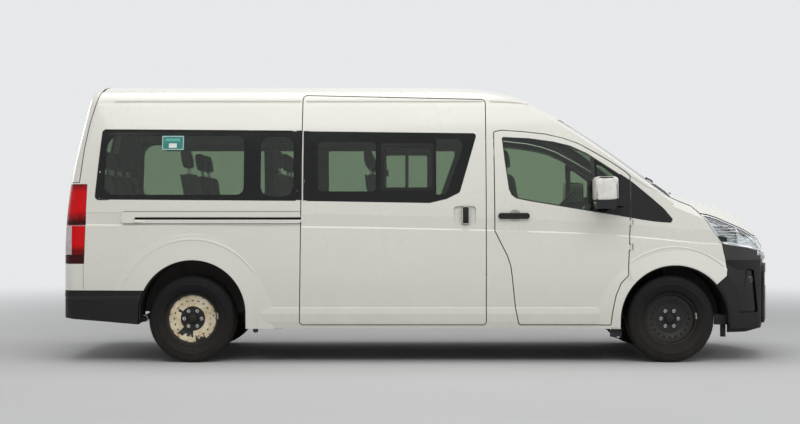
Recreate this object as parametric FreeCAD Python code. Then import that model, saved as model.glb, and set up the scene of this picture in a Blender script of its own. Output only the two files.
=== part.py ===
import FreeCAD, Part
from FreeCAD import Vector
import math
import os

os.makedirs("parts", exist_ok=True)

# driving dimensions, mm
LENGTH = 5915.0
WIDTH = 1950.0
HEIGHT = 2280.0
WHEELBASE = 3860.0
FRONT_OVERHANG = 945.0
TRACK = 1675.0
TYRE_R = 350.0
TYRE_W = 235.0
RIM_R = 203.2
RIM_W = 178.0
KINGPIN_Y = 775.0
SPINDLE_R = 40.0
RUNNING = 0.05
WALL = 60.0
LAYER = 20.0
GROOVE = 3.0
GAP = 7.0
FLOOR_Z = 600.0
FLOOR_T = 40.0
SILL_Z = 275.0

HALF_W = WIDTH / 2
X_NOSE = LENGTH / 2
X_F = X_NOSE - FRONT_OVERHANG
X_R = X_F - WHEELBASE
WHEEL_Y = TRACK / 2
HUB_Z = TYRE_R

# outer form
CROWN_R = 3600.0
NOSE_R = 2200.0
TAIL_R = 5200.0
X_FRONT = 1500.0
FRONT_R = 6500.0
X_REAR = -1900.0
REAR_R = 14000.0
CORNER_R = 494.0
CORNER_X = 2503.0
CORNER_TURN = 74.0
REAR_EDGE_R = 105.0
Z_LOW = 150.0
ARC_A = (HALF_W - 8800.0, 760.0, 8800.0)
TH1 = math.asin(440.0 / 8800.0)
ARC_B = (ARC_A[0] + 4300.0 * math.cos(TH1), ARC_A[1] + 4300.0 * math.sin(TH1), 4500.0)
Z_SHOULDER = 2068.0
TH2 = math.asin((Z_SHOULDER - ARC_B[1]) / 4500.0)
ARC_C = (ARC_B[0] + 4310.0 * math.cos(TH2), ARC_B[1] + 4310.0 * math.sin(TH2), 190.0)
TH3 = math.radians(75.0)
ROOF = [(-3500.0, HEIGHT, 0.0), (215.0, HEIGHT, 9000.0), (728.0, 2248.6, 1150.0), (1305.0, 1955.0, 5500.0),
        (2133.0, 1364.0, 600.0), (3400.0, 1024.5, 0.0)]
BONNET = [(2110.0, 1454.0, 0.0), (X_NOSE, 1076.6, 563.0), (X_NOSE, 100.0, 0.0)]
TAIL = [(-X_NOSE, 100.0, 0.0), (-X_NOSE, 1300.0, 4000.0), (-2650.0, 2600.0, 0.0)]


def biggest(shape):
    return max(shape.Solids, key=lambda s: s.Volume)


def merged(shapes):
    out = shapes[0]
    if len(shapes) > 1:
        out = out.fuse(shapes[1:])
    return out


def carved(shape, tools):
    for tool in tools:
        shape = shape.cut(tool)
    return shape


def box(x0, x1, y0, y1, z0, z1):
    return Part.makeBox(x1 - x0, y1 - y0, z1 - z0, Vector(x0, y0, z0))


def rod(a, b, r):
    d = Vector(*b) - Vector(*a)
    return Part.makeCylinder(r, d.Length, Vector(*a), d)


def pipe(points, r):
    parts = [rod(a, b, r) for a, b in zip(points, points[1:])]
    parts += [Part.makeSphere(r, Vector(*p)) for p in points[1:-1]]
    return merged(parts)


def mirrored(shape):
    return shape.mirror(Vector(0, 0, 0), Vector(0, 1, 0))


def both(shape):
    return Part.makeCompound([shape, mirrored(shape)])


def outline_wire(points, place):
    """A closed wire through (u, v) or (u, v, radius) corners, the radii as arcs."""
    n = len(points)
    ends = []
    for i in range(n):
        u, v = points[i][0], points[i][1]
        r = points[i][2] if len(points[i]) > 2 else 0.0
        if not r:
            ends.append(((u, v), (u, v), None))
            continue
        a, b = points[i - 1], points[(i + 1) % n]
        da = (a[0] - u, a[1] - v)
        db = (b[0] - u, b[1] - v)
        la, lb = math.hypot(*da), math.hypot(*db)
        da, db = (da[0] / la, da[1] / la), (db[0] / lb, db[1] / lb)
        half = math.acos(max(-1.0, min(1.0, da[0] * db[0] + da[1] * db[1]))) / 2
        t = r / math.tan(half)
        bis = (da[0] + db[0], da[1] + db[1])
        lbis = math.hypot(*bis)
        bis = (bis[0] / lbis, bis[1] / lbis)
        k = r / math.sin(half) - r
        ends.append(((u + da[0] * t, v + da[1] * t), (u + db[0] * t, v + db[1] * t), (u + bis[0] * k, v + bis[1] * k)))
    edges = []
    for i in range(n):
        first, last, mid = ends[i]
        if mid:
            edges.append(Part.Arc(place(*first), place(*mid), place(*last)).toShape())
        nxt = ends[(i + 1) % n][0]
        if math.hypot(nxt[0] - last[0], nxt[1] - last[1]) > 1e-6:
            edges.append(Part.LineSegment(place(*last), place(*nxt)).toShape())
    return Part.Wire(edges)


def plate(points, axis, a, b):
    """An outline in the plane across the axis, extruded along it from a to b."""
    place = {"y": lambda u, v: Vector(u, a, v), "x": lambda u, v: Vector(a, u, v), "z": lambda u, v: Vector(u, v, a)}[axis]
    along = {"y": Vector(0, b - a, 0), "x": Vector(b - a, 0, 0), "z": Vector(0, 0, b - a)}[axis]
    return Part.Face(outline_wire(points, place)).extrude(along)


def shrunk(points, d, grow=()):
    """The outline moved inward by d; edges named in grow move by their own amount."""
    n = len(points)
    area = sum(points[i][0] * points[(i + 1) % n][1] - points[(i + 1) % n][0] * points[i][1] for i in range(n))
    sign = 1.0 if area > 0 else -1.0
    extra = dict(grow)
    lines = []
    for i in range(n):
        a, b = points[i], points[(i + 1) % n]
        dx, dy = b[0] - a[0], b[1] - a[1]
        length = math.hypot(dx, dy)
        k = extra.get(i, d)
        lines.append((a[0] - dy / length * sign * k, a[1] + dx / length * sign * k, dx / length, dy / length))
    out = []
    for i in range(n):
        px, py, dx, dy = lines[i - 1]
        qx, qy, ex, ey = lines[i]
        det = dx * (-ey) + ex * dy
        if abs(det) < 1e-3:
            u, v = qx, qy
        else:
            s = ((qx - px) * (-ey) + ex * (qy - py)) / det
            u, v = px + dx * s, py + dy * s
        r = points[i][2] if len(points[i]) > 2 else 0.0
        out.append((u, v, max(r - d, 3.0)) if r else (u, v))
    return out


def side_y(x, z, inset=0.0):
    """How far the side skin stands from the middle plane."""
    if z <= ARC_A[1] + 440.0:
        y = ARC_A[0] + math.sqrt((ARC_A[2] - inset) ** 2 - (z - ARC_A[1]) ** 2)
    elif z <= Z_SHOULDER:
        y = ARC_B[0] + math.sqrt((ARC_B[2] - inset) ** 2 - (z - ARC_B[1]) ** 2)
    else:
        y = ARC_C[0] + math.sqrt(max(0.0, (ARC_C[2] - inset) ** 2 - (z - ARC_C[1]) ** 2))
    if x > X_FRONT:
        r = FRONT_R - (HALF_W - y)
        y = HALF_W - FRONT_R + math.sqrt(r * r - (x - X_FRONT) ** 2)
    elif x < X_REAR:
        r = REAR_R - (HALF_W - y)
        y = HALF_W - REAR_R + math.sqrt(r * r - (x - X_REAR) ** 2)
    return y


def profile(inset):
    """The left side's cross-section edges from the sill up, with its two ends."""
    def at(arc, t):
        return Vector(0, arc[0] + (arc[2] - inset) * math.cos(t), arc[1] + (arc[2] - inset) * math.sin(t))
    low = math.asin((Z_LOW - ARC_A[1]) / (ARC_A[2] - inset))
    a0, a1, a2 = at(ARC_A, low), at(ARC_A, 0.0), at(ARC_A, TH1)
    b1, b2 = at(ARC_B, (TH1 + TH2) / 2), at(ARC_B, TH2)
    c1, c2 = at(ARC_C, (TH2 + TH3) / 2), at(ARC_C, TH3)
    top = c2 + Vector(0, -900.0 * math.sin(TH3), 900.0 * math.cos(TH3))
    edges = [Part.Arc(a0, a1, a2).toShape(), Part.Arc(a2, b1, b2).toShape(), Part.Arc(b2, c1, c2).toShape(),
             Part.LineSegment(c2, top).toShape()]
    return edges, a0, top


def profile_face(inset, far):
    edges, first, last = profile(inset)
    corners = [last, Vector(0, far, last.z), Vector(0, far, first.z), first]
    edges += [Part.LineSegment(p, q).toShape() for p, q in zip(corners, corners[1:])]
    return Part.Face(Part.Wire(edges))


def side_form(inset):
    f = profile_face(inset, -1300.0)
    mid = f.translated(Vector(X_REAR, 0, 0)).extrude(Vector(X_FRONT - X_REAR, 0, 0))
    ahead = f.translated(Vector(X_FRONT, 0, 0)).revolve(Vector(X_FRONT, HALF_W - FRONT_R, 0), Vector(0, 0, 1), -15.0)
    behind = f.translated(Vector(X_REAR, 0, 0)).revolve(Vector(X_REAR, HALF_W - REAR_R, 0), Vector(0, 0, 1), 6.0)
    return mid.fuse([ahead, behind])


def offset_path(points, inset):
    lines = []
    for a, b in zip(points, points[1:]):
        dx, dz = b[0] - a[0], b[1] - a[1]
        length = math.hypot(dx, dz)
        lines.append((a[0] + dz / length * inset, a[1] - dx / length * inset, dx / length, dz / length))
    out = [(lines[0][0], lines[0][1])]
    for (px, pz, dx, dz), (qx, qz, ex, ez) in zip(lines, lines[1:]):
        s = ((qx - px) * (-ez) + ex * (qz - pz)) / (dx * (-ez) + ex * dz)
        out.append((px + dx * s, pz + dz * s))
    a, b = points[-2], points[-1]
    length = math.hypot(b[0] - a[0], b[1] - a[1])
    out.append((out[-1][0] + lines[-1][2] * length, out[-1][1] + lines[-1][3] * length))
    return out


def crown_tool(points, inset, crown, high=400.0, half=1150.0):
    """What lies above a centreline path, its underside crowned across the width."""
    v = offset_path(points, inset)
    rc = crown - inset
    drop = rc - math.sqrt(rc * rc - half * half)
    runs = []
    cur = v[0]
    for i in range(1, len(v) - 1):
        a, b, c = v[i - 1], v[i], v[i + 1]
        h1 = math.atan2(b[1] - a[1], b[0] - a[0])
        h2 = math.atan2(c[1] - b[1], c[0] - b[0])
        turn = (h2 - h1 + math.pi) % (2 * math.pi) - math.pi
        radius = points[i][2] + (-inset if turn < 0 else inset)
        t = radius * math.tan(abs(turn) / 2)
        start = (b[0] - t * math.cos(h1), b[1] - t * math.sin(h1))
        runs.append((cur, h1, math.hypot(start[0] - cur[0], start[1] - cur[1]), 0.0, 0.0))
        runs.append((start, h1, 0.0, radius, turn))
        cur = (b[0] + t * math.cos(h2), b[1] + t * math.sin(h2))
    end = v[-1]
    runs.append((cur, math.atan2(end[1] - cur[1], end[0] - cur[0]), math.hypot(end[0] - cur[0], end[1] - cur[1]), 0.0, 0.0))
    parts = []
    for start, heading, length, radius, turn in runs:
        n = Vector(-math.sin(heading), 0, math.cos(heading))
        o = Vector(start[0], 0, start[1])
        top = min(high, radius - 60.0) if turn > 0 else high

        def at(y, h):
            return o + Vector(0, y, 0) + n * h
        corners = [at(half, -drop), at(half, top), at(-half, top), at(-half, -drop)]
        edges = [Part.Arc(at(-half, -drop), o, at(half, -drop)).toShape()]
        edges += [Part.LineSegment(p, q).toShape() for p, q in zip(corners, corners[1:])]
        face = Part.Face(Part.Wire(edges))
        if radius:
            centre = o + n * (radius if turn > 0 else -radius)
            parts.append(face.revolve(centre, Vector(0, -1, 0), math.degrees(turn)))
        else:
            parts.append(face.extrude(Vector(math.cos(heading), 0, math.sin(heading)) * length))
    return merged(parts)


def corner_tool(inset):
    """What lies outside the left nose corner, turned about the corner's own axis."""
    phi = math.asin((CORNER_X - X_FRONT) / FRONT_R)
    low = Part.Face(Part.makePolygon([Vector(0, 0, 0), Vector(0, 2000, 0), Vector(0, 2000, 1500), Vector(0, 0, 1500),
                                      Vector(0, 0, 0)]))
    f = profile_face(inset, 1500.0).common(low).Faces[0]
    g = f.translated(Vector(X_FRONT, 0, 0))
    g.rotate(Vector(X_FRONT, HALF_W - FRONT_R, 0), Vector(0, 0, 1), -math.degrees(phi))
    n = Vector(math.sin(phi), math.cos(phi), 0)
    start = Vector(CORNER_X, HALF_W - FRONT_R + FRONT_R * math.cos(phi), 0)
    axis = start - n * CORNER_R
    turn = CORNER_TURN - math.degrees(phi)
    bend = g.revolve(axis, Vector(0, 0, 1), -turn)
    g2 = g.copy()
    g2.rotate(axis, Vector(0, 0, 1), -turn)
    d = math.radians(CORNER_TURN)
    return bend.fuse(g2.extrude(Vector(math.cos(d), -math.sin(d), 0) * 1200.0))


def form(inset):
    left = side_form(inset)
    body = left.common(mirrored(left))
    body = body.common(box(-3200, 3200, -1100, 1100, Z_LOW, 2330.0))
    body = biggest(body.cut([crown_tool(ROOF, inset, CROWN_R), crown_tool(BONNET, inset, NOSE_R),
                             crown_tool(TAIL, inset, TAIL_R)]))
    c = corner_tool(inset)
    body = biggest(body.cut([c, mirrored(c)]))
    rear = []
    for e in body.Edges:
        c, b = e.CenterOfMass, e.BoundBox
        if c.x < -2500 and e.Length > 60:
            if (abs(c.y) > 600 and b.ZLength > 25) or (abs(c.y) < 700 and c.z > 2150 and b.XLength < 60):
                rear.append(e)
    return body.makeFillet(REAR_EDGE_R - inset, rear)


# measured outlines in the side view, (x, z) or (x, z, radius)
CREASE = [(-2760.0, 1120.0), (-2250.0, 1114.0), (-1500.0, 1106.0), (-500.0, 1094.0), (300.0, 1078.0), (900.0, 1062.0),
          (1500.0, 1036.0), (1850.0, 1008.0), (2150.0, 978.0), (2440.0, 962.0)]
FRONT_DOOR = [(586.0, 1862.0, 14.0), (645.0, 1876.0), (805.0, 1867.0), (1005.0, 1844.6), (1138.0, 1814.0), (1272.0, 1767.5),
              (1404.0, 1693.6), (1537.5, 1614.0), (1644.4, 1541.0), (1684.0, 1505.0, 25.0), (1684.0, 1156.8), (1671.0, 861.0),
              (1664.5, 700.0, 30.0), (1604.0, 640.0, 60.0), (1564.0, 542.0), (1537.6, 421.6), (1521.5, 305.0, 10.0),
              (785.0, 305.0, 25.0), (758.0, 434.5), (745.0, 554.0), (731.6, 687.6), (718.8, 780.8), (692.0, 861.0, 80.0),
              (644.8, 954.4), (592.0, 1060.0, 40.0), (589.0, 1500.0)]
FRONT_GLASS = [(650.0, 1822.0, 15.0), (871.0, 1811.0), (1071.0, 1783.0), (1205.0, 1750.0), (1337.0, 1690.0), (1471.0, 1603.0),
               (1590.0, 1525.0, 20.0), (1625.0, 1490.0, 8.0), (1625.0, 1178.0, 8.0), (1404.0, 1212.0), (1138.0, 1256.0),
               (871.0, 1300.0), (765.0, 1322.0), (727.0, 1350.0, 15.0), (706.0, 1394.0), (672.0, 1633.0)]
SLIDING_DOOR = [(-960.0, 2165.0, 36.0), (523.0, 2130.0, 36.0), (523.0, 305.0, 30.0), (-980.0, 305.0, 30.0)]
SLIDING_GLASS = [(-940.0, 1867.0, 25.0), (452.0, 1851.0, 25.0), (311.0, 1370.0, 40.0), (203.0, 1317.0, 60.0),
                 (68.0, 1285.0, 60.0), (-940.0, 1301.0, 25.0)]
QUARTER_GLASS = [(-2567.0, 1880.0, 40.0), (-1000.0, 1868.0, 20.0), (-1000.0, 1302.0, 20.0), (-2608.0, 1313.0, 40.0)]
LONG_GLASS = [(-2567.0, 1880.0, 40.0), (452.0, 1851.0, 25.0), (311.0, 1370.0, 40.0), (203.0, 1317.0, 60.0),
              (68.0, 1285.0, 60.0), (-990.0, 1301.0, 200.0), (-2608.0, 1313.0, 40.0)]
FENDER = [(1530.0, 200.0), (1530.0, 600.0), (1640.0, 1100.0), (1640.0, 1500.0), (1691.0, 1500.0), (1822.0, 1418.0),
          (2040.0, 1330.0), (2204.0, 1264.0), (2262.0, 1199.0), (2314.0, 1129.0), (2354.0, 1068.0), (2395.0, 1018.0),
          (2431.0, 967.0), (2447.0, 887.0), (2462.0, 827.0), (2472.0, 727.0), (2470.0, 697.0), (2374.0, 620.0),
          (2100.0, 500.0), (2000.0, 200.0)]
LAMP_TOP = [(2262.0, 1199.0), (2335.0, 1189.0), (2418.0, 1164.0), (2525.0, 1117.0), (2644.0, 1066.0), (2721.0, 1024.0),
            (2800.0, 1003.0), (3100.0, 1003.0)]
LAMP_LOW = [(3100.0, 872.0), (2806.0, 888.0), (2644.0, 934.0), (2525.0, 951.0), (2431.0, 967.0)]
LAMP_REAR = [(2395.0, 1018.0), (2354.0, 1068.0), (2314.0, 1129.0)]
BONNET_EDGE = [(2040.0, 1700.0), (2040.0, 1330.0), (2204.0, 1264.0)] + LAMP_TOP + [(3100.0, 1700.0)]
FRONT_BUMPER = LAMP_LOW + [(2447.0, 887.0), (2462.0, 827.0), (2472.0, 727.0), (2470.0, 697.0), (2374.0, 620.0),
                           (2374.0, 238.0), (2640.0, 240.0), (2760.0, 262.0), (2860.0, 272.0), (3100.0, 272.0)]
REAR_BUMPER = [(-3100.0, 582.0), (-2200.0, 582.0), (-2200.0, 305.0), (-2290.0, 308.0), (-2820.0, 350.0), (-3100.0, 378.0)]
TAIL_LAMP = [(-3100.0, 1438.0), (-2694.0, 1438.0), (-2715.0, 795.0), (-3100.0, 795.0)]
TAILGATE_HIGH = [(-3200.0, 1447.0), (-2756.0, 1447.0), (-2723.0, 1728.0), (-2687.0, 1929.0), (-2616.0, 2188.0),
                 (-2609.0, 2262.0), (-2609.0, 2400.0), (-3200.0, 2400.0)]
TAILGATE_Z = 590.0
TAILGATE_Y = 752.0
LAMP_Y = 560.0
GRILLE_Z = (835.0, 1003.0)
SCREEN = [(-800.0, 1445.0, 60.0), (800.0, 1445.0, 60.0), (690.0, 1975.0, 70.0), (-690.0, 1975.0, 70.0)]
REAR_SCREEN = [(-690.0, 1420.0, 60.0), (690.0, 1420.0, 60.0), (640.0, 2050.0, 80.0), (-640.0, 2050.0, 80.0)]
COWL = (1840.0, 2040.0, 785.0, 1200.0, 1445.0)
ROOF_Y = 700.0
REAR_ARCH = (X_R + 5.0, 395.0, 432.0)
FRONT_ARCH = (X_F + 30.0, 340.0, 445.0)
TUB_T = 20.0
REAR_TUB_Y = 655.0
FRONT_TUB_Y = 500.0

OUT = form(0.0)
IN_LAYER = form(LAYER)
IN = form(WALL)
GLASS_OUT = form(3.0)
GLASS_IN = form(9.0)


def crease_tool():
    """The undercut above the shoulder line, as a loft along the side."""
    wires = []
    for x, z in CREASE:
        low, high = side_y(x, z - 12.0), side_y(x, z + 95.0)
        pts = [Vector(x, low + 30.0, z - 12.0), Vector(x, low, z - 12.0), Vector(x, side_y(x, z) - 10.0, z),
               Vector(x, high, z + 95.0), Vector(x, high + 30.0, z + 95.0)]
        wires.append(Part.makePolygon(pts + [pts[0]]))
    return Part.makeLoft(wires, True, False)


def flare(arch, tilt, section):
    """A cone round a wheel opening; section is (radius, height above the skin) pairs."""
    x, z, r = arch
    y = side_y(x, 700.0)
    pts = [Vector(rr, yy, 0) for rr, yy in section] + [Vector(section[-1][0], -60.0, 0), Vector(section[0][0], -60.0, 0)]
    f = Part.Face(Part.makePolygon(pts + [pts[0]]))
    ring = f.revolve(Vector(0, 0, 0), Vector(0, 1, 0), 360.0)
    ring.rotate(Vector(0, 0, 0), Vector(0, 0, 1), tilt)
    ring.translate(Vector(x, y, z))
    return ring.common(box(-3000, 3000, 800, 1100, SILL_Z, 1300.0))


def arch_cut(arch, y0, low=100.0):
    x, z, r = arch
    tool = Part.makeCylinder(r, 1150.0 - y0, Vector(x, y0, z), Vector(0, 1, 0))
    return tool.fuse(box(x - r, x + r, y0, 1150.0, low, z))


def rocker():
    """The sill's bulge between the wheels."""
    pts = [(900.0, 290.0), (962.0, 275.0), (975.5, 330.0), (981.0, 395.0), (975.0, 440.0), (962.0, 458.0), (900.0, 458.0)]
    return plate([(y, z) for y, z in pts], "x", -1330.0, 1440.0)


crease = crease_tool()
bulge = rocker()
rear_flare = flare(REAR_ARCH, 0.0, [(425.0, 13.0), (445.0, 13.0), (640.0, -3.0), (700.0, -20.0)])
front_flare = flare(FRONT_ARCH, -3.9, [(438.0, 22.0), (458.0, 22.0), (575.0, -4.0), (700.0, -45.0)])
OUTER = OUT.fuse([bulge, mirrored(bulge), rear_flare, mirrored(rear_flare), front_flare, mirrored(front_flare)])
OUTER = biggest(OUTER.cut([crease, mirrored(crease)]))
front_hole = arch_cut(FRONT_ARCH, FRONT_TUB_Y)
rear_hole = arch_cut(REAR_ARCH, REAR_TUB_Y)
ARCHES = [front_hole, mirrored(front_hole), rear_hole, mirrored(rear_hole)]


def two_layers(outer_tool, inner_tool, cuts=()):
    """The wall inside a prism: its outer layer by one prism, the rest of its depth by another."""
    skin = carved(OUTER.common(outer_tool), [IN_LAYER] + list(cuts))
    core = carved(IN_LAYER.common(inner_tool), [IN] + list(cuts))
    return biggest(skin.fuse(core).removeSplitter())


def side_prism(points, side, y0=300.0, y1=1300.0):
    p = plate(points, "y", y0, y1)
    return p if side > 0 else mirrored(p)


def hinge(p, axis, body, out, pocket_r=11.0):
    """A pin on lugs for the fixed side, a barrel for the moving one, and the pocket both need."""
    p, axis, body, out = Vector(*p), Vector(*axis), Vector(*body), Vector(*out)
    half, lug = 22.0, 8.0

    def slab(d, lo, hi):
        c = p + axis * lo
        pts = [c + out * -6.0, c + out * -1.0, c + d + out * -1.0, c + d + out * -6.0]
        return Part.Face(Part.makePolygon(pts + [pts[0]])).extrude(axis * (hi - lo))

    def round_bar(r, lo, hi):
        return Part.makeCylinder(r, hi - lo, p + axis * lo, axis)
    fixed = [round_bar(3.0, -half - lug, half + lug)]
    for lo, hi in ((-half - lug, -half), (half, half + lug)):
        fixed += [round_bar(6.0, lo, hi), slab(body * 26.0, lo, hi)]
    moving = round_bar(6.0, 0.5 - half, half - 0.5).fuse(slab(body * -32.0, 0.5 - half, half - 0.5))
    moving = moving.cut(round_bar(3.0 + RUNNING, -half, half))
    return round_bar(pocket_r, -half - lug - 1.0, half + lug + 1.0), merged(fixed), moving


def hinged(shape, hinges, part):
    """The shape with the hinges' pockets cut and their fixed (1) or moving (2) halves joined on."""
    for h in hinges:
        shape = shape.cut(h[0]).fuse(h[part])
    return biggest(shape)


HINGE_X = 1691.0
HINGE_Y = 966.0
door_hinges = [hinge((HINGE_X, HINGE_Y, z), (0, 0, 1), (1, 0, 0), (0, 1, 0), 16.0) for z in (930.0, 1130.0)]
SLOPE = math.atan2(1955.0 - 1364.0, 2133.0 - 1305.0)
bonnet_hinges = [hinge((2036.0, y, 1428.0), (0, 1, 0), (-math.cos(SLOPE), 0, math.sin(SLOPE)),
                       (math.sin(SLOPE), 0, math.cos(SLOPE))) for y in (-120.0, 120.0)]
gate_hinges = [hinge((-2605.0, y, 2274.0), (0, 1, 0), (1, 0, 0), (0, 0, 1)) for y in (-120.0, 120.0)]


def save(name, shape):
    shape.exportStep("parts/%s.step" % name)


def sunk(prism, bottom):
    """What a recess takes away: the prism, down to one of the forms inside the skin."""
    return prism.cut(bottom)


def rounded_bar(u0, v0, u1, v1, r, axis, a, b):
    """A rounded rectangle swept along an axis."""
    return plate([(u0, v0, r), (u1, v0, r), (u1, v1, r), (u0, v1, r)], axis, a, b)


def slots(y0, y1, levels):
    """Rounded slots side by side in height, seen from the front."""
    return [rounded_bar(y0, low, y1, high, 8.0, "x", 2600, 3100) for low, high in levels]


# prisms shared by neighbouring panels
tailgate_low = box(-3200, -2600, -TAILGATE_Y, TAILGATE_Y, TAILGATE_Z, 1447.0)
tailgate_hole = plate(TAILGATE_HIGH, "y", -1100, 1100).fuse(tailgate_low)
tail_lamp_hole = plate(TAIL_LAMP, "y", TAILGATE_Y, 1100)
lamp_outline = LAMP_TOP + LAMP_LOW + LAMP_REAR
lamp_hole = plate(lamp_outline, "y", LAMP_Y, 1100)
grille_hole = box(2600, 3100, -LAMP_Y, LAMP_Y, GRILLE_Z[0], GRILLE_Z[1])
fender_hole = plate(FENDER, "y", 300, 1100)
door_hole = plate(shrunk(FRONT_DOOR, -3.5), "y", 300, 1100)
slider_hole = mirrored(plate(shrunk(SLIDING_DOOR, -3.5), "y", 300, 1100))
screen_hole = plate(SCREEN, "x", 1000, 2200)
cowl_hole = box(COWL[0], COWL[1], -COWL[2], COWL[2], COWL[3], COWL[4])
roof_hole = box(-2620, 1330, -ROOF_Y, ROOF_Y, 1900, 2400)
rear_bumper_hole = plate(REAR_BUMPER, "y", -1100, 1100)
front_bumper_hole = plate(FRONT_BUMPER, "y", -1100, 1100)


def body_side(side):
    region = plate([(-3100.0, SILL_Z), (2040.0, SILL_Z), (2040.0, 2400.0), (-3100.0, 2400.0)], "y", 0, 1100)
    flip = (lambda s: s) if side > 0 else mirrored
    cuts = [flip(s) for s in (fender_hole, door_hole, tail_lamp_hole, front_hole, rear_hole)]
    cuts += [tailgate_hole, rear_bumper_hole, screen_hole, cowl_hole, roof_hole]
    if side > 0:
        cuts.append(plate(LONG_GLASS, "y", 300, 1100))
    else:
        cuts += [slider_hole, mirrored(plate(QUARTER_GLASS, "y", 300, 1100))]
    return biggest(carved(OUTER.common(flip(region)), [IN] + cuts))


def pane(outline, side):
    prism = side_prism(outline, side)
    return biggest(GLASS_OUT.common(prism).cut(GLASS_IN))


def door():
    """Narrower behind its outer layer at the rear edge, so it swings clear of the pillar."""
    rear = {22: 16.0, 23: 16.0, 24: 16.0, 25: 16.0}
    skin = plate(shrunk(FRONT_DOOR, 4.5), "y", 300, 1300)
    core = plate(shrunk(FRONT_DOOR, 4.5, rear), "y", 300, 1300)
    window = plate(FRONT_GLASS, "y", 300, 1300)
    return hinged(two_layers(skin, core, [front_hole, window]), door_hinges, 2)


HANDLE_Z = (1160.0, 1203.0)
handle_y = side_y(745.0, 1180.0)
hand_bowl = Part.makeSphere(80.0, Vector(755.0, handle_y + 62.0, 1185.0))
handle = rounded_bar(622.0, HANDLE_Z[0], 868.0, HANDLE_Z[1], 12.0, "y", handle_y + 12.0, handle_y + 23.0)
feet = [box(x, x + 34.0, handle_y - 15.0, handle_y + 13.0, HANDLE_Z[0] + 7.0, HANDLE_Z[1] - 7.0)
        for x in (628.0, 828.0)]
left_door = biggest(door().cut(hand_bowl).fuse([handle] + feet))
save("front_door_left", left_door)
save("front_door_right", mirrored(left_door))
save("front_door_glass_right", pane(FRONT_GLASS, -1))
save("front_door_glass_left", pane(FRONT_GLASS, 1))
slider = side_prism(shrunk(SLIDING_DOOR, 4.0), -1, ROOF_Y + GROOVE)
slider_body = two_layers(slider, slider, [side_prism(SLIDING_GLASS, -1)])
# the roller arm at the door's rear edge reaches into the rail behind it
roller_arm = box(-1040.0, -940.0, -938.0, -912.0, 1140.0, 1190.0)
pull_recess = rounded_bar(262.0, 1110.0, 440.0, 1261.0, 26.0, "y", 500, 1100)
pull = rounded_bar(329.0, 1117.0, 386.0, 1259.0, 16.0, "y", 938, 984)
slider_body = slider_body.cut(mirrored(sunk(pull_recess, IN_LAYER)))
save("sliding_door", biggest(slider_body.fuse([roller_arm, mirrored(pull)])))
save("sliding_door_glass", pane(SLIDING_GLASS, -1))
track_cover = plate([(-2422.0, 1150.0, 12.0), (-2400.0, 1213.0, 12.0), (-968.0, 1213.0), (-968.0, 1123.0),
                     (-2400.0, 1123.0, 12.0)],
                    "y", 500, 1100)
track_cover = biggest(form(-5.0).common(track_cover).cut(IN_LAYER))
track_slot = plate([(-2310.0, 1133.0, 12.0), (-960.0, 1133.0), (-960.0, 1172.0), (-2310.0, 1172.0, 12.0)],
                   "y", 500, 1100)
right_side = body_side(-1).fuse(mirrored(track_cover)).cut(mirrored(sunk(track_slot, IN_LAYER)))
save("side_panel_right", biggest(carved(right_side, [slider_hole, roller_arm])))
save("side_panel_left", body_side(1))
save("side_glass_right", pane(QUARTER_GLASS, -1))
save("side_glass_left", pane(LONG_GLASS, 1))

roof_skin = box(-2602, 1330, -ROOF_Y + GROOVE, ROOF_Y - GROOVE, 1900, 2400)
save("roof_panel", hinged(two_layers(roof_skin, roof_hole, [tailgate_hole, screen_hole]), gate_hinges, 1))
save("windscreen", biggest(GLASS_OUT.common(screen_hole).cut(GLASS_IN)))
cowl_skin = box(COWL[0], COWL[1], -COWL[2] + GROOVE, COWL[2] - GROOVE, COWL[3], COWL[4])
save("cowl", hinged(two_layers(cowl_skin, cowl_hole), bonnet_hinges, 1))

# the flare is eased off beside the door, whose edge swings past it
flare_relief = plate([(1664.0, 974.0), (1740.0, 1012.0), (1664.0, 1012.0)], "z", 660.0, 900.0)
fender = two_layers(plate(shrunk(FENDER, GROOVE, {0: 0.0}), "y", 300, 1100), fender_hole,
                    [front_hole, door_hole, cowl_hole, flare_relief])
save("front_fenders", both(hinged(fender, door_hinges, 1)))
bonnet_hole = plate(BONNET_EDGE, "y", -1100, 1100)
bonnet_tool = plate(shrunk(BONNET_EDGE, GAP), "y", -1100, 1100)
save("bonnet", hinged(two_layers(bonnet_tool, bonnet_tool), bonnet_hinges, 2))
grille_skin = box(2600, 3100, -LAMP_Y + GROOVE, LAMP_Y - GROOVE, GRILLE_Z[0] + GROOVE, GRILLE_Z[1])
DEEP = form(40.0)
grille_slots = slots(-532.0, -12.0, [(853.0, 893.0), (906.0, 944.0), (957.0, 988.0)])
grille_slots += slots(12.0, 532.0, [(853.0, 893.0), (906.0, 944.0), (957.0, 988.0)])
grille = carved(two_layers(grille_skin, grille_hole), [sunk(slot, DEEP) for slot in grille_slots])
save("grille", biggest(grille))
# each lamp is an open housing with a ring and ribs in it, behind a lens
lamp_skin = plate(shrunk(lamp_outline, GROOVE), "y", LAMP_Y + GROOVE, 1100)
lamp_open = plate(shrunk(lamp_outline, 12.0), "y", LAMP_Y + 12.0, 1100)
housing = two_layers(lamp_skin, lamp_hole).cut(sunk(lamp_open, DEEP))
inside = GLASS_IN.common(lamp_open).cut(form(42.0))
bowl = rod((2450, 700, 965), (3000, 700, 965), 58).cut(rod((2440, 700, 965), (3010, 700, 965), 50))
ribs = [box(2330.0, 2560.0, 500, 1100, z, z + 6.0) for z in (985.0, 1007.0, 1029.0, 1051.0, 1073.0, 1095.0)]
post = box(2560.0, 2572.0, 500, 1100, 900, 1200)
reflector = [inside.common(t) for t in [bowl, post] + ribs]
housing = biggest(housing.fuse([t for t in reflector if t.Volume > 100.0]))
save("headlamps", both(housing))
save("headlamp_lenses", both(biggest(GLASS_OUT.common(lamp_open).cut(GLASS_IN))))
PLATE_SPACING = 320.0
PLATE_HOLE_R = 2.5
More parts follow.
